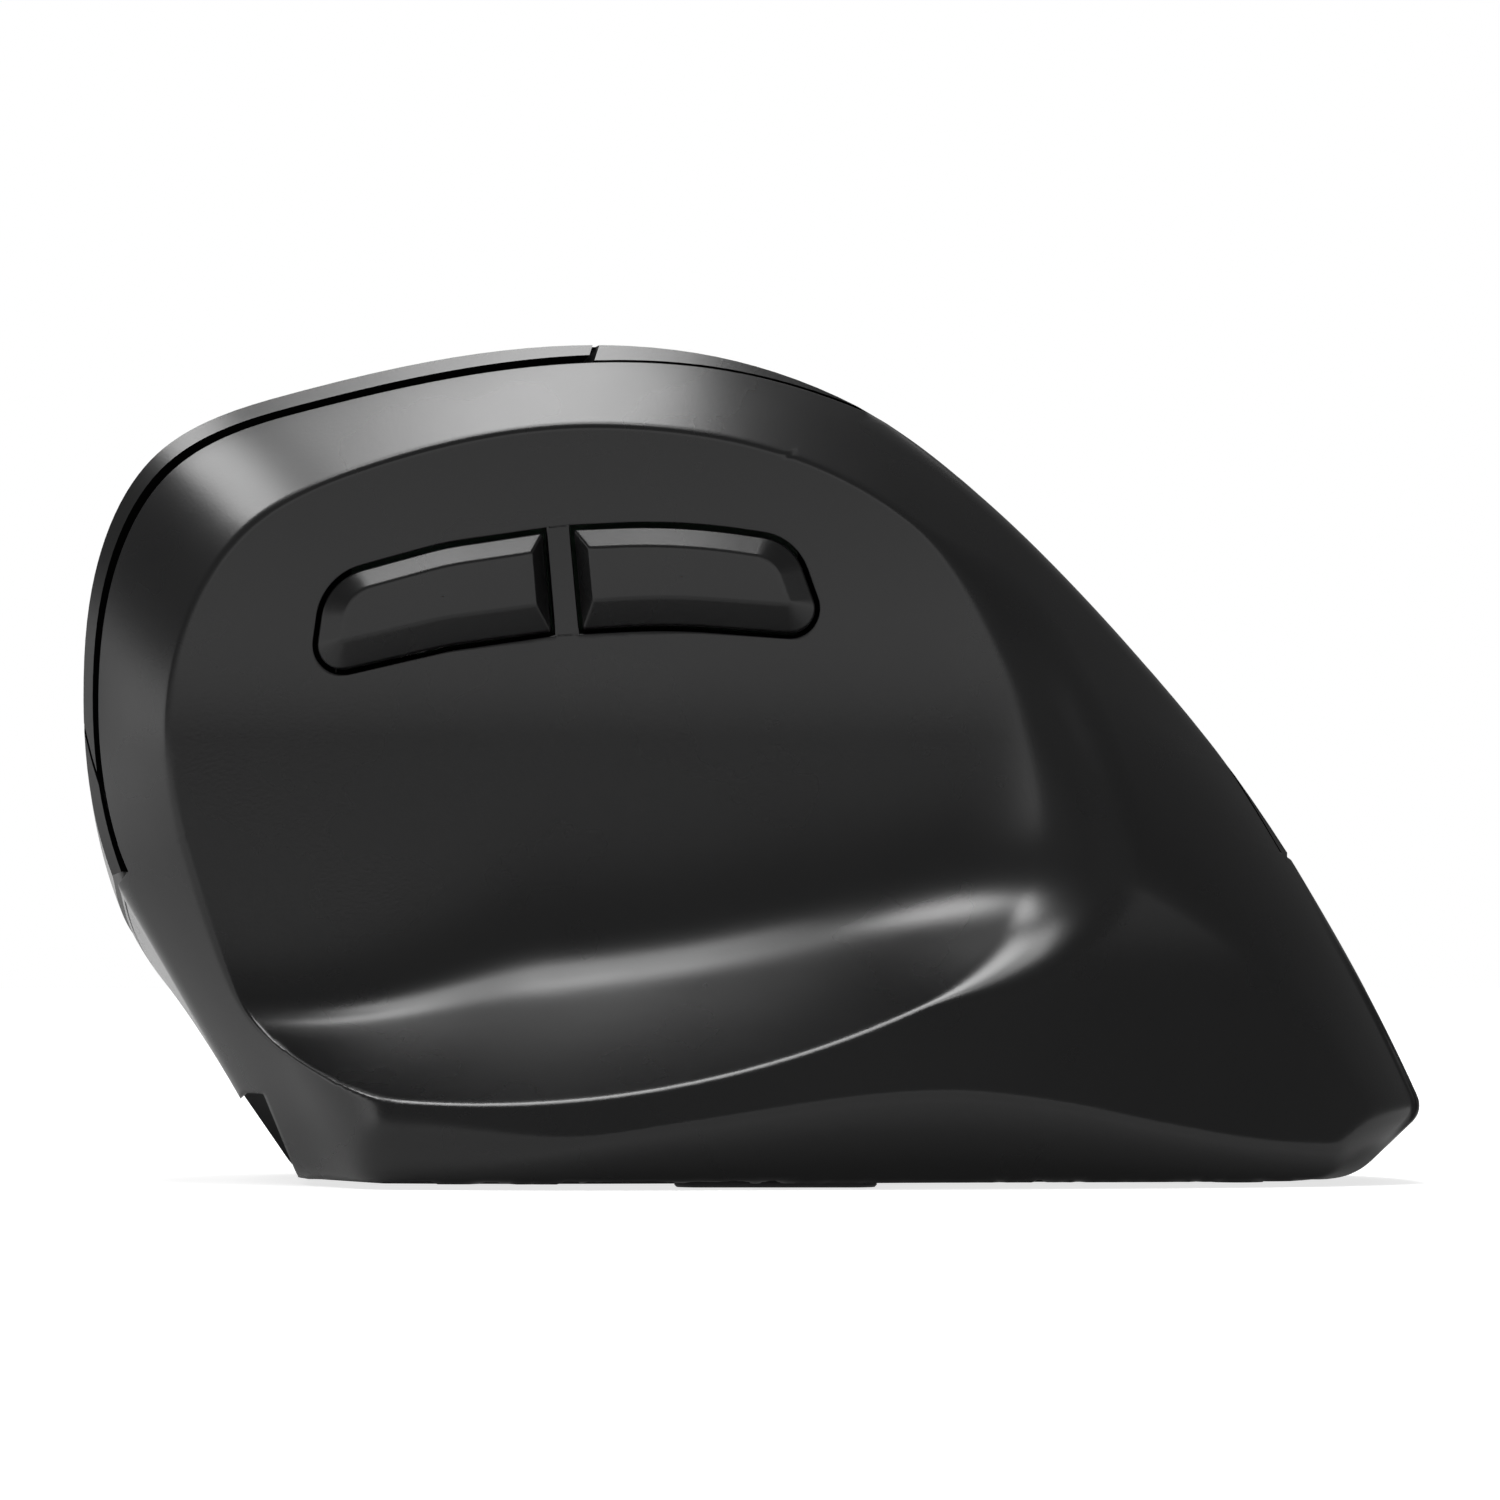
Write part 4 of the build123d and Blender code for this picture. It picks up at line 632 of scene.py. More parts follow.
def shade_gaps(made):
    """Painted shade: darkens the colour and shine of the narrow walls that face the thumb side across a seam,
    where hardly any light gets in.
    """
    tree = made.node_tree
    shader = tree.nodes["Principled BSDF"]
    own = shader.inputs["Base Color"].default_value
    facing = node(tree, "NewGeometry")
    turned = node(tree, "VectorTransform", vector_type="NORMAL", convert_from="WORLD", convert_to="OBJECT")
    parts = node(tree, "SeparateXYZ")
    lit = node(tree, "MapRange", {"From Min": GAP_DARK, "From Max": GAP_LIT})
    shine = node(tree, "Math", {1: PLAIN_SHINE}, operation="MULTIPLY")
    # Painted shade: the wall's own colour turns to near black where its normal faces the thumb
    painted_shade = node(tree, "Mix", {"A": PAINTED_GAP_SHADE, "B": own}, data_type="RGBA")
    wire(
        tree, (facing, "True Normal", turned, "Vector"), (turned, "Vector", parts, "Vector"),
        (parts, "Y", lit, "Value"), (lit, "Result", painted_shade, "Factor"), (painted_shade, "Result", shader, "Base Color"),
        (lit, "Result", shine, 0), (shine, "Value", shader, "Specular IOR Level"),
    )
    return made


def gap_shade():
    """Painted shade: dull black for the gap's floor and the socket's well, dark sheets where a hole would show
    only shade; made once.
    """
    return bpy.data.materials.get("gap_shade") or plastic("gap_shade", (0.002, 0.002, 0.002), 0.8, shine=0.1)


def coat_nodes(made, slot):
    """Gives a material to every CAD node that takes its finish from this slot."""
    for node in frame["record"]["subparts"]:
        if node["material_slot"] == slot:
            mesh = frame["nodes"][node["node"]].data
            mesh.materials.clear()
            mesh.materials.append(made)


class MOUSE_OT_finishes(bpy.types.Operator):
    """Give every CAD node its finish"""

    bl_idname = "mouse.finishes"
    bl_label = "Finishes"

    def execute(self, context):
        look = context.scene.mouse_finish
        coat_nodes(plastic("shell_finish", look.shell_colour, look.shell_gloss), "shell_plastic")
        # The palm plastic carries painted shade: shade_gaps paints its seam walls that face the thumb dark
        coat_nodes(shade_gaps(plastic("palm_finish", look.palm_colour, look.shell_gloss)), "palm_plastic")
        coat_nodes(plastic("button_finish", look.shell_colour, look.button_gloss), "button_plastic")
        for slot, (name, colour, roughness, differs) in SLOT_FINISHES.items():
            coat_nodes(plastic(name + "_finish", colour, roughness, **differs), slot)
        return {"FINISHED"}


# Rows of the thumb side: on a ray, over the crest (the first on a curve), and at the edge
ROWS = 112
BLEND_ROWS = 9
CURVE_ROWS = 6
END_ROWS = 5
TAIL_ROWS = BLEND_ROWS + END_ROWS

# Rows by bend: samples, bend of the closest rows, density where flat, (axis, reach) of means
RAY_SAMPLES = 240
SHARPEST_BEND = 4.0
FLAT_DENSITY = 0.35
BEND_MEANS = ((0, 5), (1, 3))

# Rays' ends: share of the bevel, part kept beside the seam, columns of the change, bevel's width
CREST_SHARE = 0.045
CREST_SHARE_KEPT = 0.1
SEAM_COLUMNS = 16
BEVEL_WIDTH = 36
RECESS_RAY_SHARE = 0.5

# Shares of the palm reach: end of the crest's curve, join with the palm skirt, nearest seam
CREST_REACH = 0.024
JOIN_REACH = 0.044
NEAREST_SEAM = 0.004
JOIN_OVERLAP = 0.3

# Depths of edges, steps behind them, and the stray depth past which a median takes over
EDGE_DEPTH = 1.6
POCKET_DEPTH = 2.3
BASE_EDGE_DEPTH = 2.0
UNDER_STEP = 0.04
SEAM_STEP = 0.001
STRAY_COLUMNS = 3
STRAY_DEPTH = 1.2

# Palm skirt: rows and spread, chin's share above the recess, gaps and room by the recess, end face
SKIRT_ROWS = 90
SKIRT_SPREAD = (0.35, 0.65, 1.5)
CHIN_SPLIT = 0.6
RECESS_SLIT = 0.0004
RECESS_STEP = 0.02
CHIN_ROOM = 0.5
END_FACE_SHARES = (0.985, 0.9, 0.6, 0.3, 0.02)

# Way to the thumb, and places inside the mouse that palm-side edges face away from
TO_THUMB = np.array((0, -1.0, 0))
INSIDE_CREST = np.array((-5.0, 10.0, 30.0))
INSIDE_SKIRT = np.array((-5.0, 0.0, 15.0))


def grid_faces(rows, columns, wrap=False):
    """Four-sided faces of a grid of points that is stored row by row, closed round if wrap."""
    a = np.arange(rows - 1)[:, None] * columns
    b = np.arange(columns if wrap else columns - 1)[None, :]
    after = (b + 1) % columns
    return np.stack([a + b, a + after, a + columns + after, a + columns + b], axis=-1).reshape(-1, 4)


def surface_piece(name, grids, made, body, outward, replaced=()):
    """One object from several grids of drawn points, each (points, wrap), its faces turned outward."""
    corners, faces, start = [], [], 0
    for points, wrap in grids:
        rows, columns = points.shape[:2]
        flat = points.reshape(-1, 3)
        quads = grid_faces(rows, columns, wrap)
        corner = flat[quads]
        facing = np.cross(corner[:, 2] - corner[:, 0], corner[:, 3] - corner[:, 1])
        if (facing @ np.array(outward, float)).sum() < 0:
            quads = quads[:, ::-1]
        corners.append(flat)
        faces.append(quads + start)
        start += len(flat)
    flat = np.concatenate(corners)
    placed = (flat + (0, SET_DOWN_Y, 0)) * MM
    mesh = bpy.data.meshes.new(name)
    mesh.from_pydata(placed.tolist(), [], np.concatenate(faces).tolist())
    mesh.polygons.foreach_set("use_smooth", np.ones(len(mesh.polygons), bool))
    mesh.update()
    mesh.materials.append(made)
    piece = bpy.data.objects.new(name, mesh)
    bpy.context.scene.collection.objects.link(piece)
    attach(piece, body)
    if replaced:
        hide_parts(*replaced)
    return piece


def rolled_edge(before, edge, beside, depth, outward, radius):
    """Rows that round an edge off and run inward behind it: a quarter circle of the radius in the
    plane of the surface's run and its normal, then a straight wall of the given depth."""
    run = unit(edge - before)
    normal = unit(np.cross(run, beside))
    normal = normal * np.sign((normal * outward).sum(axis=-1, keepdims=True))
    rows = []
    for turn in (math.pi / 6, math.pi / 3, math.pi / 2):
        rows.append(edge + radius * (math.sin(turn) * run - (1 - math.cos(turn)) * normal))
    rows.append(rows[-1] - normal * depth * 0.5)
    rows.append(rows[-1] - normal * depth * 0.5)
    return rows


def zone_reach():
    """First and last share of the palm reach at which each column of the ring is inside the palm zone."""
    shares = np.linspace(0, PALM_LAST_SHARE, 900)
    plan, rest = inside_zone(palm_point(NEAR_RING[:, None, :], shares[None, :]))
    inside = np.minimum(plan, rest) > 0
    any_inside = inside.any(axis=1)
    first = shares[np.argmax(inside, axis=1)]
    last = shares[len(shares) - 1 - np.argmax(inside[:, ::-1], axis=1)]
    return any_inside, first, last


def seam_share():
    """How far down the bevel the seam lies in each column, 0 where it isn't on the bevel: the plan
    seam's depth at the column's x, in four rounds."""
    share = np.zeros(len(NEAR_RING))
    for step in range(4):
        spot = down_bevel(share)
        seam = np.interp(spot[:, 0], SEAM_PLAN_LINE[:, 0], SEAM_PLAN_LINE[:, 1])
        share = np.maximum(0, (CREST_Y - seam) / BEVEL_DEPTH)
    point = np.stack([spot[:, 0], CREST_Y - BEVEL_DEPTH * share, spot[:, 1]], axis=1)
    return np.where(inside_zone(point)[1] > 0, share, 0)


def reach_of_loop(angle, loop):
    """Distance from the hub to a closed loop at each angle, straight between the loop's points."""
    spoke = loop - HUB
    turn = np.arctan2(spoke[:, 1], spoke[:, 0])
    order = np.argsort(turn)
    return np.interp(angle, turn[order], np.hypot(*spoke.T)[order], period=2 * math.pi)


def recess_cut(outer):
    """Ends of the rays, drawn back to the socket's recess where they run into it, and which rays do."""
    way = outer - HUB
    wall_top, wall_foot = np.array(RECESS_TOP), np.array(RECESS_FOOT)
    along = wall_foot - wall_top
    turn = way[:, 0] * along[1] - way[:, 1] * along[0]
    to_top = wall_top - HUB
    to_wall = (to_top[0] * along[1] - to_top[1] * along[0]) / np.where(np.abs(turn) < TINY, TINY, turn)
    enter = np.maximum(to_wall, to_top[1] / np.minimum(way[:, 1], -TINY))
    toward_recess = (way[:, 0] < 0) & (way[:, 1] < 0) & (outer[:, 1] < wall_top[1])
    cut = toward_recess & (enter < 1) & (enter > RECESS_RAY_SHARE)
    return np.where(cut[:, None], HUB + way * enter[:, None], outer), cut


def row_shares(inner, outer):
    """Shares of each ray at which the rows lie: even steps of a running sum of the root of the surface's
    bend, smoothed over rays and rows."""
    trial = np.linspace(0, 1, RAY_SAMPLES)
    tries = mix(inner[:, None], outer[:, None], trial[None, :, None])
    height = thumb_y(tries[..., 0], tries[..., 1])
    spacing = np.hypot(*(outer - inner).T)[:, None] / (RAY_SAMPLES - 1)
    bend = np.pad(np.abs(np.diff(height, 2, axis=1)) / spacing**2, ((0, 0), (1, 1)), mode="edge")
    weight = np.sqrt(np.minimum(bend, SHARPEST_BEND))
    for axis, reach in BEND_MEANS:
        padded = np.concatenate(
            [np.take(weight, range(-reach, 0), axis), weight, np.take(weight, range(reach), axis)], axis=axis)
        total = np.cumsum(padded, axis=axis)
        size = weight.shape[axis]
        window = np.take(total, range(2 * reach, 2 * reach + size), axis) - np.take(total, range(size), axis)
        weight = window / (2 * reach)
    density = FLAT_DENSITY + weight
    run = np.cumsum((density[:, 1:] + density[:, :-1]) / 2, axis=1)
    run = np.concatenate([np.zeros((len(run), 1)), run], axis=1)
    run /= run[:, -1:]
    apart = 2 * np.arange(len(run))[:, None]
    wanted = (np.linspace(0, 1, ROWS)[None, :] + apart).ravel()
    shares = np.interp(wanted, (run + apart).ravel(), np.tile(trial, len(run))).reshape(len(run), ROWS)
    shares[:, 0], shares[:, -1] = 0, 1
    return shares


def crest_rows(end, zone, on_bevel, first, radius):
    """Rows over the crest: a quadratic curve that heads for the crest line, then the palm surface up to
    its seam, with a rolled edge, or up to the palm skirt."""
    to_seam = zone & ~on_bevel
    last = np.where(to_seam, np.maximum(first, NEAREST_SEAM), JOIN_REACH)
    near = np.minimum(CREST_REACH, last)
    crest = palm_point(NEAR_RING, np.zeros(len(NEAR_RING)))
    target = palm_point(NEAR_RING, near)
    flat_rows = BLEND_ROWS - CURVE_ROWS
    rows = [curve_through(end, crest, target, k / CURVE_ROWS) for k in range(1, CURVE_ROWS + 1)]
    for k in range(1, flat_rows + 1):
        rows.append(palm_point(NEAR_RING, near + (last - near) * k / (flat_rows + END_ROWS * ~zone)))
    edge = rows[-1]
    rolled = rolled_edge(rows[-2], edge, across(edge), EDGE_DEPTH, edge - INSIDE_CREST, radius)
    for k in range(END_ROWS):
        share = near + (last - near) * (flat_rows + 1 + k) / (flat_rows + END_ROWS)
        rows.append(np.where(to_seam[:, None], rolled[k], palm_point(NEAR_RING, share)))
    return rows


def thumb_shell(radius):
    """Grid of the thumb side, a column for each ruling: along rays from the side buttons' pockets to the
    seam, crest, base or recess, at the depth of thumb_y, then over the crest or in behind the edge."""
    column = np.arange(len(NEAR_RING))
    is_base = (column >= BASE_FIRST) & (column <= BASE_LAST)
    zone, first, _ = zone_reach()
    share = seam_share()
    on_bevel = share > 0
    from_seam = np.abs(column - np.argmax(on_bevel))
    back = smooth_step(from_seam / SEAM_COLUMNS)
    crest_share = CREST_SHARE * (CREST_SHARE_KEPT + (1 - CREST_SHARE_KEPT) * back)
    angle = np.arctan2(NEAR_RING[:, 1] - HUB[1], NEAR_RING[:, 0] - HUB[0])
    ray = np.stack([np.cos(angle), np.sin(angle)], axis=1)
    to_seam, to_crest, to_base = [
        reach_of_loop(angle, down_bevel(s)) for s in (share + radius / BEVEL_WIDTH, crest_share, 0 * share)
    ]
    reach = np.where(is_base, to_base, np.where(on_bevel, to_seam, to_crest))
    outer, notched = recess_cut(HUB + reach[:, None] * ray)
    pockets = cornered(FORWARD_OUTLINE + BACK_OUTLINE, 0, 16, 60)
    inner = HUB + reach_of_loop(angle, pockets)[:, None] * ray
    left_x, right_x = [np.interp(inner[:, 1], side[:, 1], side[:, 0]) for side in BRIDGE]
    over_bridge = (inner[:, 0] > left_x - BRIDGE_SLACK) & (inner[:, 0] < right_x + BRIDGE_SLACK)

    spots = mix(inner[:, None], outer[:, None], row_shares(inner, outer)[..., None])
    depth = thumb_y(spots[..., 0], spots[..., 1])
    around = [np.roll(depth, k, axis=0) for k in range(-STRAY_COLUMNS, STRAY_COLUMNS + 1)]
    usual = np.median(around, axis=0)
    depth = np.where(np.abs(depth - usual) > STRAY_DEPTH, usual, depth)
    rows = list(np.stack([spots[..., 0], depth, spots[..., 1]], axis=-1).swapaxes(0, 1))

    inward = unit(inner - outer)
    lip = rolled_edge(rows[1], rows[0], across(rows[0]), POCKET_DEPTH, TO_THUMB, radius)
    opening = []
    for k, rolled in enumerate(lip, 1):
        opening.append(np.where(over_bridge[:, None], on_scoop(inner + inward * UNDER_STEP * k), rolled))

    end = rows[-1]
    over_crest = crest_rows(end, zone, on_bevel, first, radius)
    at_seam = [end + unit(end - rows[-2]) * SEAM_STEP * k for k in range(1, BLEND_ROWS + 1)]
    at_seam += rolled_edge(rows[-2], end, across(end), EDGE_DEPTH, TO_THUMB, radius)
    join_y = CREST_Y + PALM_REACH * JOIN_REACH + JOIN_OVERLAP
    into_base = np.array((0, BASE_EDGE_DEPTH, 0))
    into_recess = (join_y - end[:, 1:2]) * np.array((0, 1, 0))
    closing = []
    for k in range(TAIL_ROWS):
        row = np.where(on_bevel[:, None], at_seam[k], over_crest[k])
        row = np.where(is_base[:, None], end + into_base * (k + 1) / TAIL_ROWS, row)
        closing.append(np.where(notched[:, None], end + into_recess * (k + 1) / TAIL_ROWS, row))
    return np.stack(opening[::-1] + rows + closing)


def bridge_strip(radius):
    """The shell's bridge between the side buttons: straight lines across it, laid on the scoop, with a
    rolled edge on each side."""
    up = np.linspace(0, 1, BRIDGE_COLUMNS)[None, :, None]
    over = np.linspace(0, 1, BRIDGE_ROWS)[:, None, None]
    left, right = [mix(low, high, up) for low, high in BRIDGE]
    face = on_scoop(mix(left, right, over))
    beside = np.gradient(face[0], axis=0)
    first = rolled_edge(face[1], face[0], beside, POCKET_DEPTH, TO_THUMB, radius)
    last = rolled_edge(face[-2], face[-1], beside, POCKET_DEPTH, TO_THUMB, radius)
    return np.stack(first[::-1] + list(face) + last)


def gap_floor():
    """Floor of the gap behind the left click plate, a dark sheet of painted shade: the palm surface along the
    gap's line, which slants in proportion to the way down the slope, lowered by GAP_DEPTH."""
    dome = NEAR_RING[: RING_COUNTS["dome"]][::-1]
    share = np.linspace(*GAP_SHARES, 16)[:, None]
    across_gap = np.linspace(*GAP_SIDES, 5)[None, :]
    x = GAP_X + across_gap + 0 * share
    for step in range(6):
        point = palm_point(np.stack([x, np.interp(x, dome[:, 0], dome[:, 1])], axis=-1), share)
        past_turn = GAP_TURN - down_slope(point[..., 1], point[..., 2])
        x = GAP_X + across_gap + GAP_SLANT * np.maximum(0, past_turn)
    return point - np.array((0, 0, GAP_DEPTH))


def skirt_shares(zone, last):
    """Shares of the palm reach at the skirt's rows: a line and a power curve from the zone's end or the
    join, with a row close to each side of the recess's end."""
    even, uneven, power = SKIRT_SPREAD
    start = np.where(zone, last, JOIN_REACH)
    t = np.linspace(0, 1, SKIRT_ROWS)[:, None]
    shares = start + (PALM_LAST_SHARE - start) * (even * t + uneven * t**power)
    recess_end = (RECESS_PALM_Y - CREST_Y) / PALM_REACH
    for k in range(1, SKIRT_ROWS):
        between = (shares[k - 1] <= recess_end) & (shares[k] > recess_end) & ~zone
        shares[k - 1] = np.where(between, recess_end - RECESS_SLIT, shares[k - 1])
        shares[k] = np.where(between, recess_end + RECESS_SLIT, shares[k])
    return shares


def level_chin(points, ring, shares, chin):
    """Moves the chin's points along its outline, a fixed share of them above the recess's top: heights in
    even steps, x from the ring squashed to its share."""
    top = palm_point(ring[chin[0] - 1], shares[:, chin])
    foot = palm_point(ring[chin[-1] + 1], shares[:, chin])
    edge_z = RECESS_TOP[1]
    split = int(len(chin) * CHIN_SPLIT)
    k = np.arange(len(chin))
    high = np.clip(k / split, 0, 1)
    low = np.clip((k - split - 1) / (len(chin) - split - 2), 0, 1)
    above = top[..., 2] + (edge_z - top[..., 2]) * high
    below = edge_z - RECESS_STEP + (foot[..., 2] - edge_z) * low
    z = np.where(k <= split, above, below)
    z = np.where(top[..., 2] < edge_z + CHIN_ROOM, points[:, chin, 2], z)
    side = ring[chin[0] - 1 : chin[-1] + 2][::-1]
    squash = (top[..., 2] - SHELL_FLOOR) / (side[-1, 1] - SHELL_FLOOR)
    ring_x = np.interp(SHELL_FLOOR + (z - SHELL_FLOOR) / squash, side[:, 1], side[:, 0])
    length = (top[..., 0] - PALM_ANCHOR_X) / (side[-1, 0] - PALM_ANCHOR_X)
    points[:, chin, 0] = PALM_ANCHOR_X + (ring_x - PALM_ANCHOR_X) * length
    points[:, chin, 2] = z


def palm_skirt(radius):
    """Grid of the palm side below and behind the palm cover: palm_point at the skirt's shares, held
    behind the recess's wall, and an end face drawn in to its middle."""
    columns = np.concatenate([np.arange(BASE_LAST, len(NEAR_RING)), np.arange(0, BASE_FIRST + 1)])
    zone, _, last = (part[columns] for part in zone_reach())
    ring = NEAR_RING[columns]
    shares = skirt_shares(zone, last)
    points = palm_point(ring[None], shares)
    level_chin(points, ring, shares, np.where((columns >= CHIN_FIRST) & (columns < BASE_FIRST))[0])
    lower = (columns >= CHIN_FIRST) & (columns <= BASE_FIRST)
    in_recess = (points[..., 1] < RECESS_PALM_Y) & (points[..., 2] < RECESS_TOP[1]) & lower
    behind_wall = np.maximum(points[..., 0], recess_wall_x(points[..., 2]))
    points[..., 0] = np.where(in_recess, behind_wall, points[..., 0])
    rows = list(points)
    edge = rows[0]
    beside = np.gradient(edge, axis=0)
    rolled = rolled_edge(rows[1], edge, beside, EDGE_DEPTH, edge - INSIDE_SKIRT, radius)
    plain = [edge + (edge - rows[1]) * SEAM_STEP * k for k in range(1, END_ROWS + 1)]
    opening = [np.where(zone[:, None], a, b) for a, b in zip(rolled, plain)]
    end = rows[-1]
    middle = np.array((end[:, 0].mean(), end[0, 1], SHELL_FLOOR))
    end_face = [middle + (end - middle) * np.array((s, 1, s)) for s in END_FACE_SHARES]
    return np.stack(opening[::-1] + rows + end_face)


def button_pad(outline, rims, gap, rise):
    """Side button: a straight side out of the pocket, a rim that slopes up over its own width on each
    edge, and a flat face on a plane laid through the scoop."""
    corners = np.array([(x, z) for x, z, radius in outline])
    low = corners.min(axis=0) + PAD_PROBE
    high = corners.max(axis=0) - PAD_PROBE
    mid = (low + high) / 2
    left, right, below, above = [
        scoop_y(np.array(x), np.array(z))
        for x, z in ((low[0], mid[1]), (high[0], mid[1]), (mid[0], low[1]), (mid[0], high[1]))
    ]
    lean = np.array([right - left, above - below]) / (high - low)
    foot = cornered(outline, gap)
    brow = cornered(outline, rims)

    def row(spot, sunk):
        face_y = (left + right + below + above) / 4 - PAD_STEP - rise + (spot - mid) @ lean
        return np.stack([spot[:, 0], face_y + sunk, spot[:, 1]], axis=1)

    slope = [row(mix(foot, brow, share), rise * (1 - share) + drop) for share, drop in PAD_SLOPE]
    centre = brow.mean(axis=0)
    top = [row(centre + (brow - centre) * share, drop) for share, drop in PAD_TOP]
    return np.stack(slope + top)


def racetrack(size, radius):
    """Corners (y, z, radius) of a rectangle about the middle, for cornered."""
    half, high = size[0] / 2, size[1] / 2
    return [(-half, -high, radius), (half, -high, radius), (half, high, radius), (-half, high, radius)]


def on_recess_wall(loop, proud):
    """Loop of (y, z) about the socket's middle, standing out of the recess's wall."""
    up = SOCKET_PLACE[1] + loop[:, 1]
    return np.stack([recess_wall_x(up) - proud, SOCKET_PLACE[0] + loop[:, 0], up], axis=1)


def socket_mouth():
    """Rim, well and tongue of the socket: loops of a rounded rectangle, drawn in by insets or shares."""
    outline = racetrack(SOCKET_SIZE, SOCKET_SIZE[1] / 2 - 0.01)
    rim = np.stack([on_recess_wall(cornered(outline, inset), proud) for inset, proud in SOCKET_RIM])
    inside = cornered(outline, WELL_INSET)
    well = np.stack([on_recess_wall(inside * share, WELL_HEIGHT) for share in WELL_SHARES])
    bar = cornered(racetrack(TONGUE_SIZE, TONGUE_RADIUS), 0)
    tongue = np.stack([on_recess_wall(bar * share, proud) for share, proud in TONGUE_ROWS])
    return rim, well, tongue


class MOUSE_OT_shell(bpy.types.Operator):
    """Build the shell's smooth outer surfaces"""

    bl_idname = "mouse.shell"
    bl_label = "Shell"

    def execute(self, context):
        look = context.scene.mouse_finish
        radius = context.scene.mouse_shape.edge_radius / MM
        made = plastic("shell_skin", look.shell_colour, look.shell_gloss)
        grids = [(thumb_shell(radius), True), (bridge_strip(radius), False)]
        surface_piece("thumb_shell", grids, made, "housing", (0, -1, 0), ["main_shell"])
        skirt = [(palm_skirt(radius), False)]
        surface_piece("palm_skirt", skirt, made, "housing", (0, 1, 0.5))
        # The gap's floor is a dark sheet of painted shade
        floor = [(gap_floor(), False)]
        surface_piece("gap_floor", floor, gap_shade(), "housing", (0, 0, 1))
        return {"FINISHED"}


class MOUSE_OT_socket(bpy.types.Operator):
    """Build the charging socket's mouth"""

    bl_idname = "mouse.socket"
    bl_label = "Charging socket"

    def execute(self, context):
        rim, well, tongue = [[(points, True)] for points in socket_mouth()]
        steel = plastic("socket_steel", (0.35, 0.35, 0.36), 0.35, metallic=1)
        dark = plastic("socket_tongue", (0.02, 0.02, 0.021), 0.5)
        surface_piece("socket_rim", rim, steel, "housing", (-1, 0, 0), ["charging_socket"])
        # The well is a dark sheet of painted shade in the socket's hole
        surface_piece("socket_well", well, gap_shade(), "housing", (-1, 0, 0))
        surface_piece("socket_tongue", tongue, dark, "housing", (-1, 0, 0))
        return {"FINISHED"}


class MOUSE_OT_buttons(bpy.types.Operator):
    """Build the two side buttons"""

    bl_idname = "mouse.buttons"
    bl_label = "Side buttons"

    def execute(self, context):
        look = context.scene.mouse_finish
        shape = context.scene.mouse_shape
        sizes = (shape.button_gap / MM, shape.button_rise / MM)
        made = plastic("pad_finish", look.shell_colour, look.button_gloss)
        for outline, rims, name in ((FORWARD_OUTLINE, FORWARD_RIM, "forward"), (BACK_OUTLINE, BACK_RIM, "back")):
            grids = [(button_pad(outline, rims, *sizes), True)]
            surface_piece(name + "_pad", grids, made, name, (0, -1, 0), [name + "_button"])
        return {"FINISHED"}


# Lamps: place, aim, size across and up, and the setting that holds the strength
LAMPS = {
    "overhead": ((-0.06, -0.053, 0.93), (0.0, -0.03, 0.06), (0.36, 0.36), "overhead"),
    "upper": ((-0.06, -0.384, 0.855), (0.0, -0.03, 0.06), (0.36, 0.2), "upper"),
    "corner": ((-0.54, -0.12, 0.87), (-0.05, -0.03, 0.06), (0.28, 0.3), "corner"),
    "front_left": ((-1.0, -0.1, 0.1), (-0.03, 0.0, 0.04), (0.8, 0.19), "front"),
    "behind_camera": ((0.1, -1.9, 0.35), (0.0, 0.0, 0.04), (2.4, 1.3), "fill"),
    "palm_side": ((0.1, 0.62, 0.95), (0.0, 0.0, 0.04), (1.0, 0.5), "palm"),
}
ROOM_LIGHT = 0.24

# Floor: half width, paper, fade, and own light (near, far) for other rays and for the camera; the glow for other
# rays is painted light, dimmer near the mouse as painted shade
FLOOR_REACH = 1.2
PAPER_GREY = (0.45, 0.45, 0.45, 1)
FADE_FROM = 0.07
FADE_TO = 0.25
PAINTED_FLOOR_GLOW = (0.15, 0.65)
FLOOR_SEEN = (0.75, 1.0)


def softbox(name, place, aim, size, power):
    """A rectangular area light that looks at a point."""
    light = bpy.data.lights.new(name, "AREA")
    light.shape = "RECTANGLE"
    light.size, light.size_y = size
    light.energy = power
    lamp = bpy.data.objects.new(name, light)
    bpy.context.scene.collection.objects.link(lamp)
    lamp.location = place
    lamp.rotation_euler = (Vector(aim) - Vector(place)).to_track_quat("-Z", "Y").to_euler()


def white_world():
    """White to the camera, dim grey to everything else."""
    world = bpy.data.worlds.new("studio")
    world.use_nodes = True
    bpy.context.scene.world = world
    tree = world.node_tree
    tree.nodes.clear()
    rays = node(tree, "LightPath")
    room, seen = [node(tree, "Background", {"Color": (1, 1, 1, 1), "Strength": s}) for s in (ROOM_LIGHT, 1)]
    mix = node(tree, "MixShader")
    wire(
        tree, (rays, "Is Camera Ray", mix, "Fac"), (room, "Background", mix, 1),
        (seen, "Background", mix, 2), (mix, "Shader", node(tree, "OutputWorld"), "Surface"),
    )


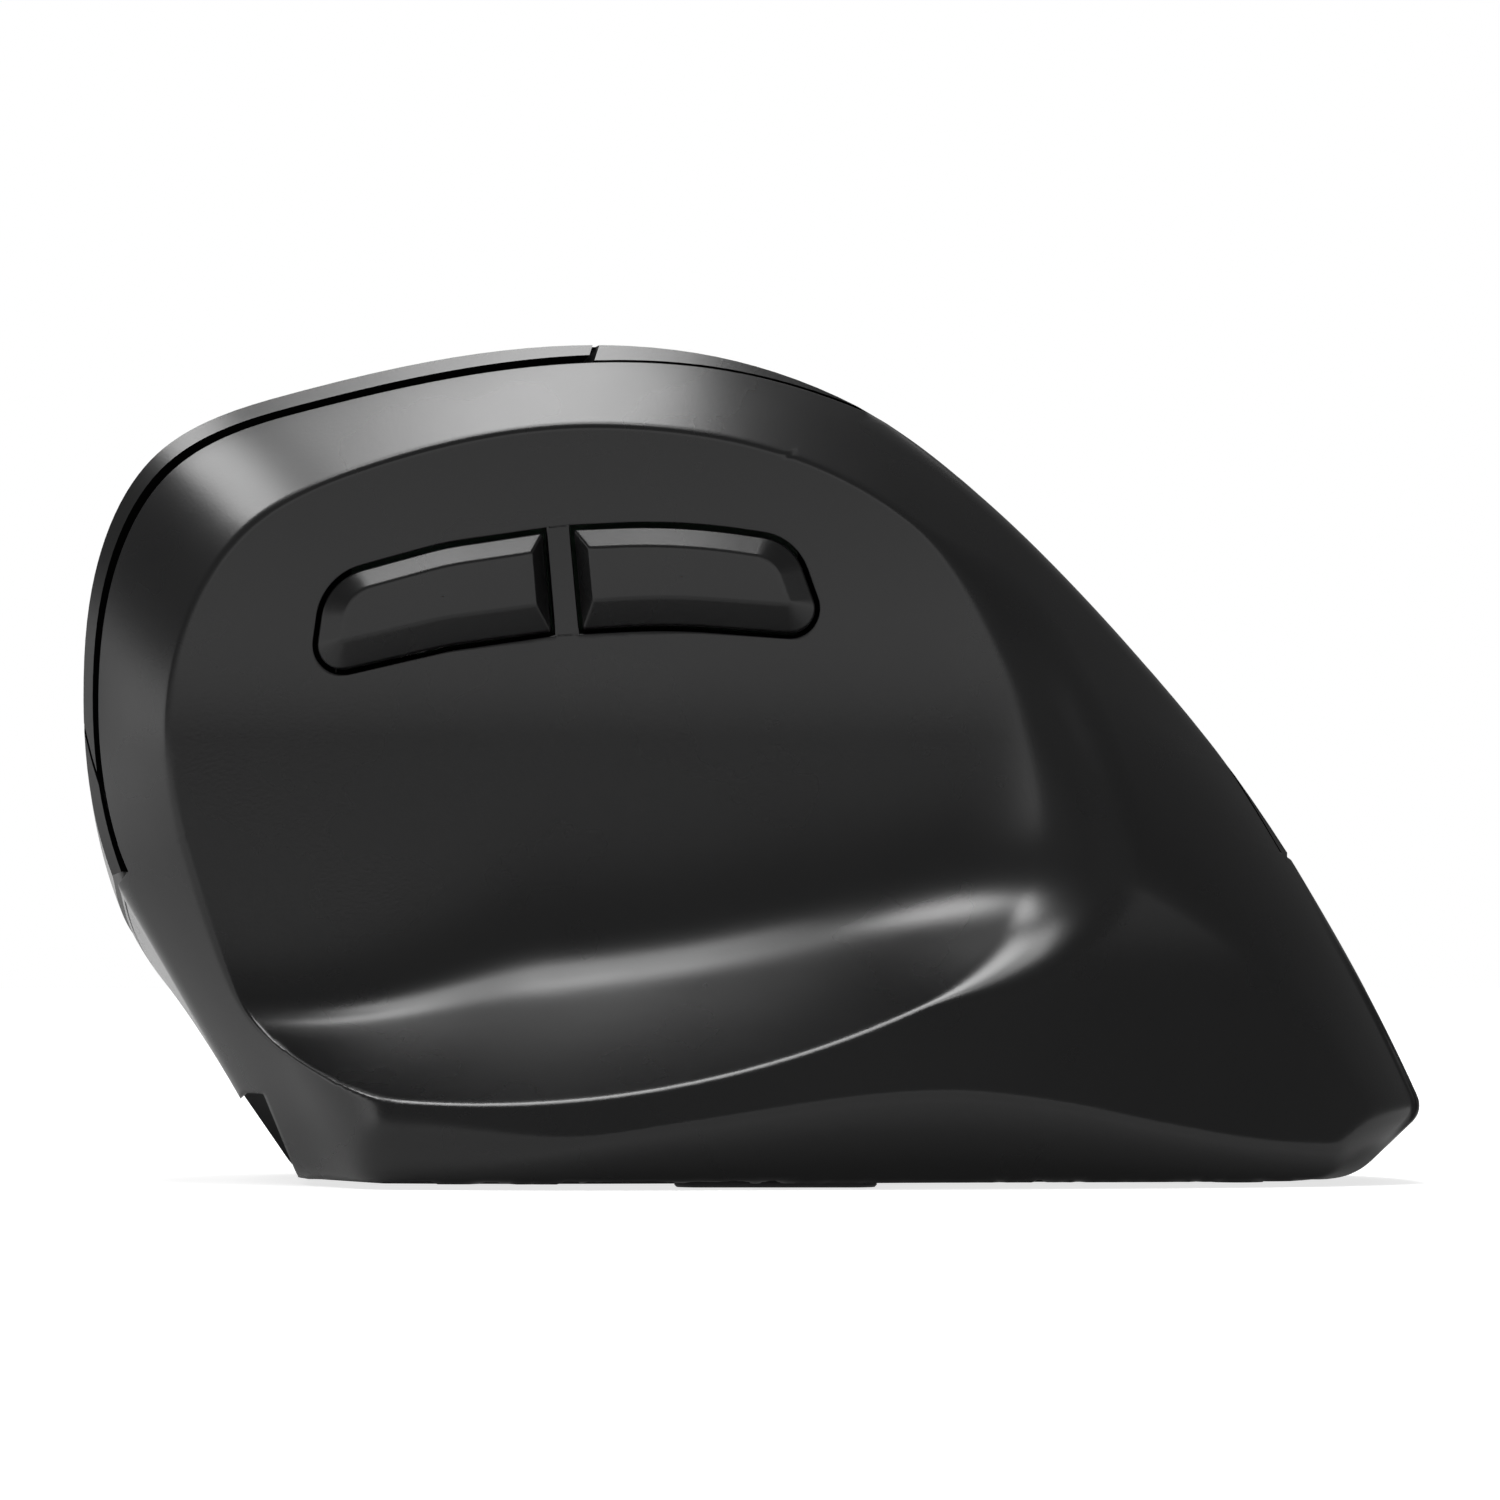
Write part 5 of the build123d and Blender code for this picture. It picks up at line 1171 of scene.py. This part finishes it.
def pale_floor():
    """White paper: to the camera it fades to white away from the mouse and keeps its soft shadow; to other rays
    it glows as painted light, dimmer near the mouse as painted shade, so it is bright in the mirror of the
    gloss."""
    mesh = bpy.data.meshes.new("floor")
    corners = [(x * FLOOR_REACH, y * FLOOR_REACH, 0) for x, y in ((-1, -1), (1, -1), (1, 1), (-1, 1))]
    mesh.from_pydata(corners, [], [(0, 1, 2, 3)])
    floor = bpy.data.objects.new("floor", mesh)
    bpy.context.scene.collection.objects.link(floor)
    made = bpy.data.materials.new("floor_paper")
    made.use_nodes = True
    tree = made.node_tree
    tree.nodes.clear()
    rays = node(tree, "LightPath")
    paper = node(tree, "BsdfDiffuse", {"Color": PAPER_GREY})
    glow = node(tree, "Emission")
    away = node(tree, "VectorMath", operation="LENGTH")
    seen = node(tree, "Mix")
    wire(tree, (node(tree, "TexCoord"), "Object", away, 0))
    # A: glow for other rays, painted light that is dimmer near the mouse as painted shade; B: glow seen by the
    # camera
    for side, (near, far) in (("A", PAINTED_FLOOR_GLOW), ("B", FLOOR_SEEN)):
        reach = {"From Min": FADE_FROM, "From Max": FADE_TO, "To Min": near, "To Max": far}
        fade = node(tree, "MapRange", reach)
        wire(tree, (away, "Value", fade, "Value"), (fade, "Result", seen, side))
    both = node(tree, "AddShader")
    wire(
        tree, (rays, "Is Camera Ray", seen, "Factor"), (seen, "Result", glow, "Strength"),
        (paper, "BSDF", both, 0), (glow, "Emission", both, 1),
        (both, "Shader", node(tree, "OutputMaterial"), "Surface"),
    )
    mesh.materials.append(made)


class MOUSE_OT_stage(bpy.types.Operator):
    """Set up the camera, the lights and the floor"""

    bl_idname = "mouse.stage"
    bl_label = "Stage"

    def execute(self, context):
        scene = context.scene
        plan = scene.mouse_stage
        scene.view_settings.view_transform = "Standard"
        white_world()
        pale_floor()
        for name, (place, aim, size, strength) in LAMPS.items():
            softbox(name, place, aim, size, getattr(plan, strength))
        sight = bpy.data.cameras.new("camera")
        sight.sensor_width = 36
        sight.lens = sight.sensor_width * plan.distance / plan.frame_width
        sight.clip_end = 20
        camera = bpy.data.objects.new("camera", sight)
        scene.collection.objects.link(camera)
        camera.location = (plan.aim_x, CREST_Y * MM - plan.distance, plan.aim_z)
        camera.rotation_euler = (math.pi / 2, 0, 0)
        scene.camera = camera
        return {"FINISHED"}


class MOUSE_PT_panel(bpy.types.Panel):
    """Sidebar panel with the mouse's settings and operators"""

    bl_idname = "MOUSE_PT_panel"
    bl_label = "Mouse"
    bl_space_type = "VIEW_3D"
    bl_region_type = "UI"
    bl_category = "Mouse"

    def draw(self, context):
        for group in SETTINGS:
            owner = getattr(context.scene, group)
            for name in owner.__annotations__:
                self.layout.prop(owner, name)
        for operator in STEPS:
            self.layout.operator(operator.bl_idname)


SETTINGS = {"mouse_finish": FinishSettings, "mouse_shape": ShapeSettings, "mouse_stage": StageSettings}
STEPS = (MOUSE_OT_finishes, MOUSE_OT_shell, MOUSE_OT_socket, MOUSE_OT_buttons, MOUSE_OT_stage)


def register():
    """Registers the settings, the operators and the panel."""
    for owner in (*SETTINGS.values(), *STEPS, MOUSE_PT_panel):
        bpy.utils.register_class(owner)
    for name, group in SETTINGS.items():
        setattr(bpy.types.Scene, name, PointerProperty(type=group))


def unregister():
    """Takes them out again."""
    for name in SETTINGS:
        delattr(bpy.types.Scene, name)
    for owner in reversed((*SETTINGS.values(), *STEPS, MOUSE_PT_panel)):
        bpy.utils.unregister_class(owner)


def main():
    """Builds the mouse and its stage."""
    register()
    for step in STEPS:
        group, name = step.bl_idname.split(".")
        getattr(getattr(bpy.ops, group), name)()


if __name__ == "__main__":
    main()
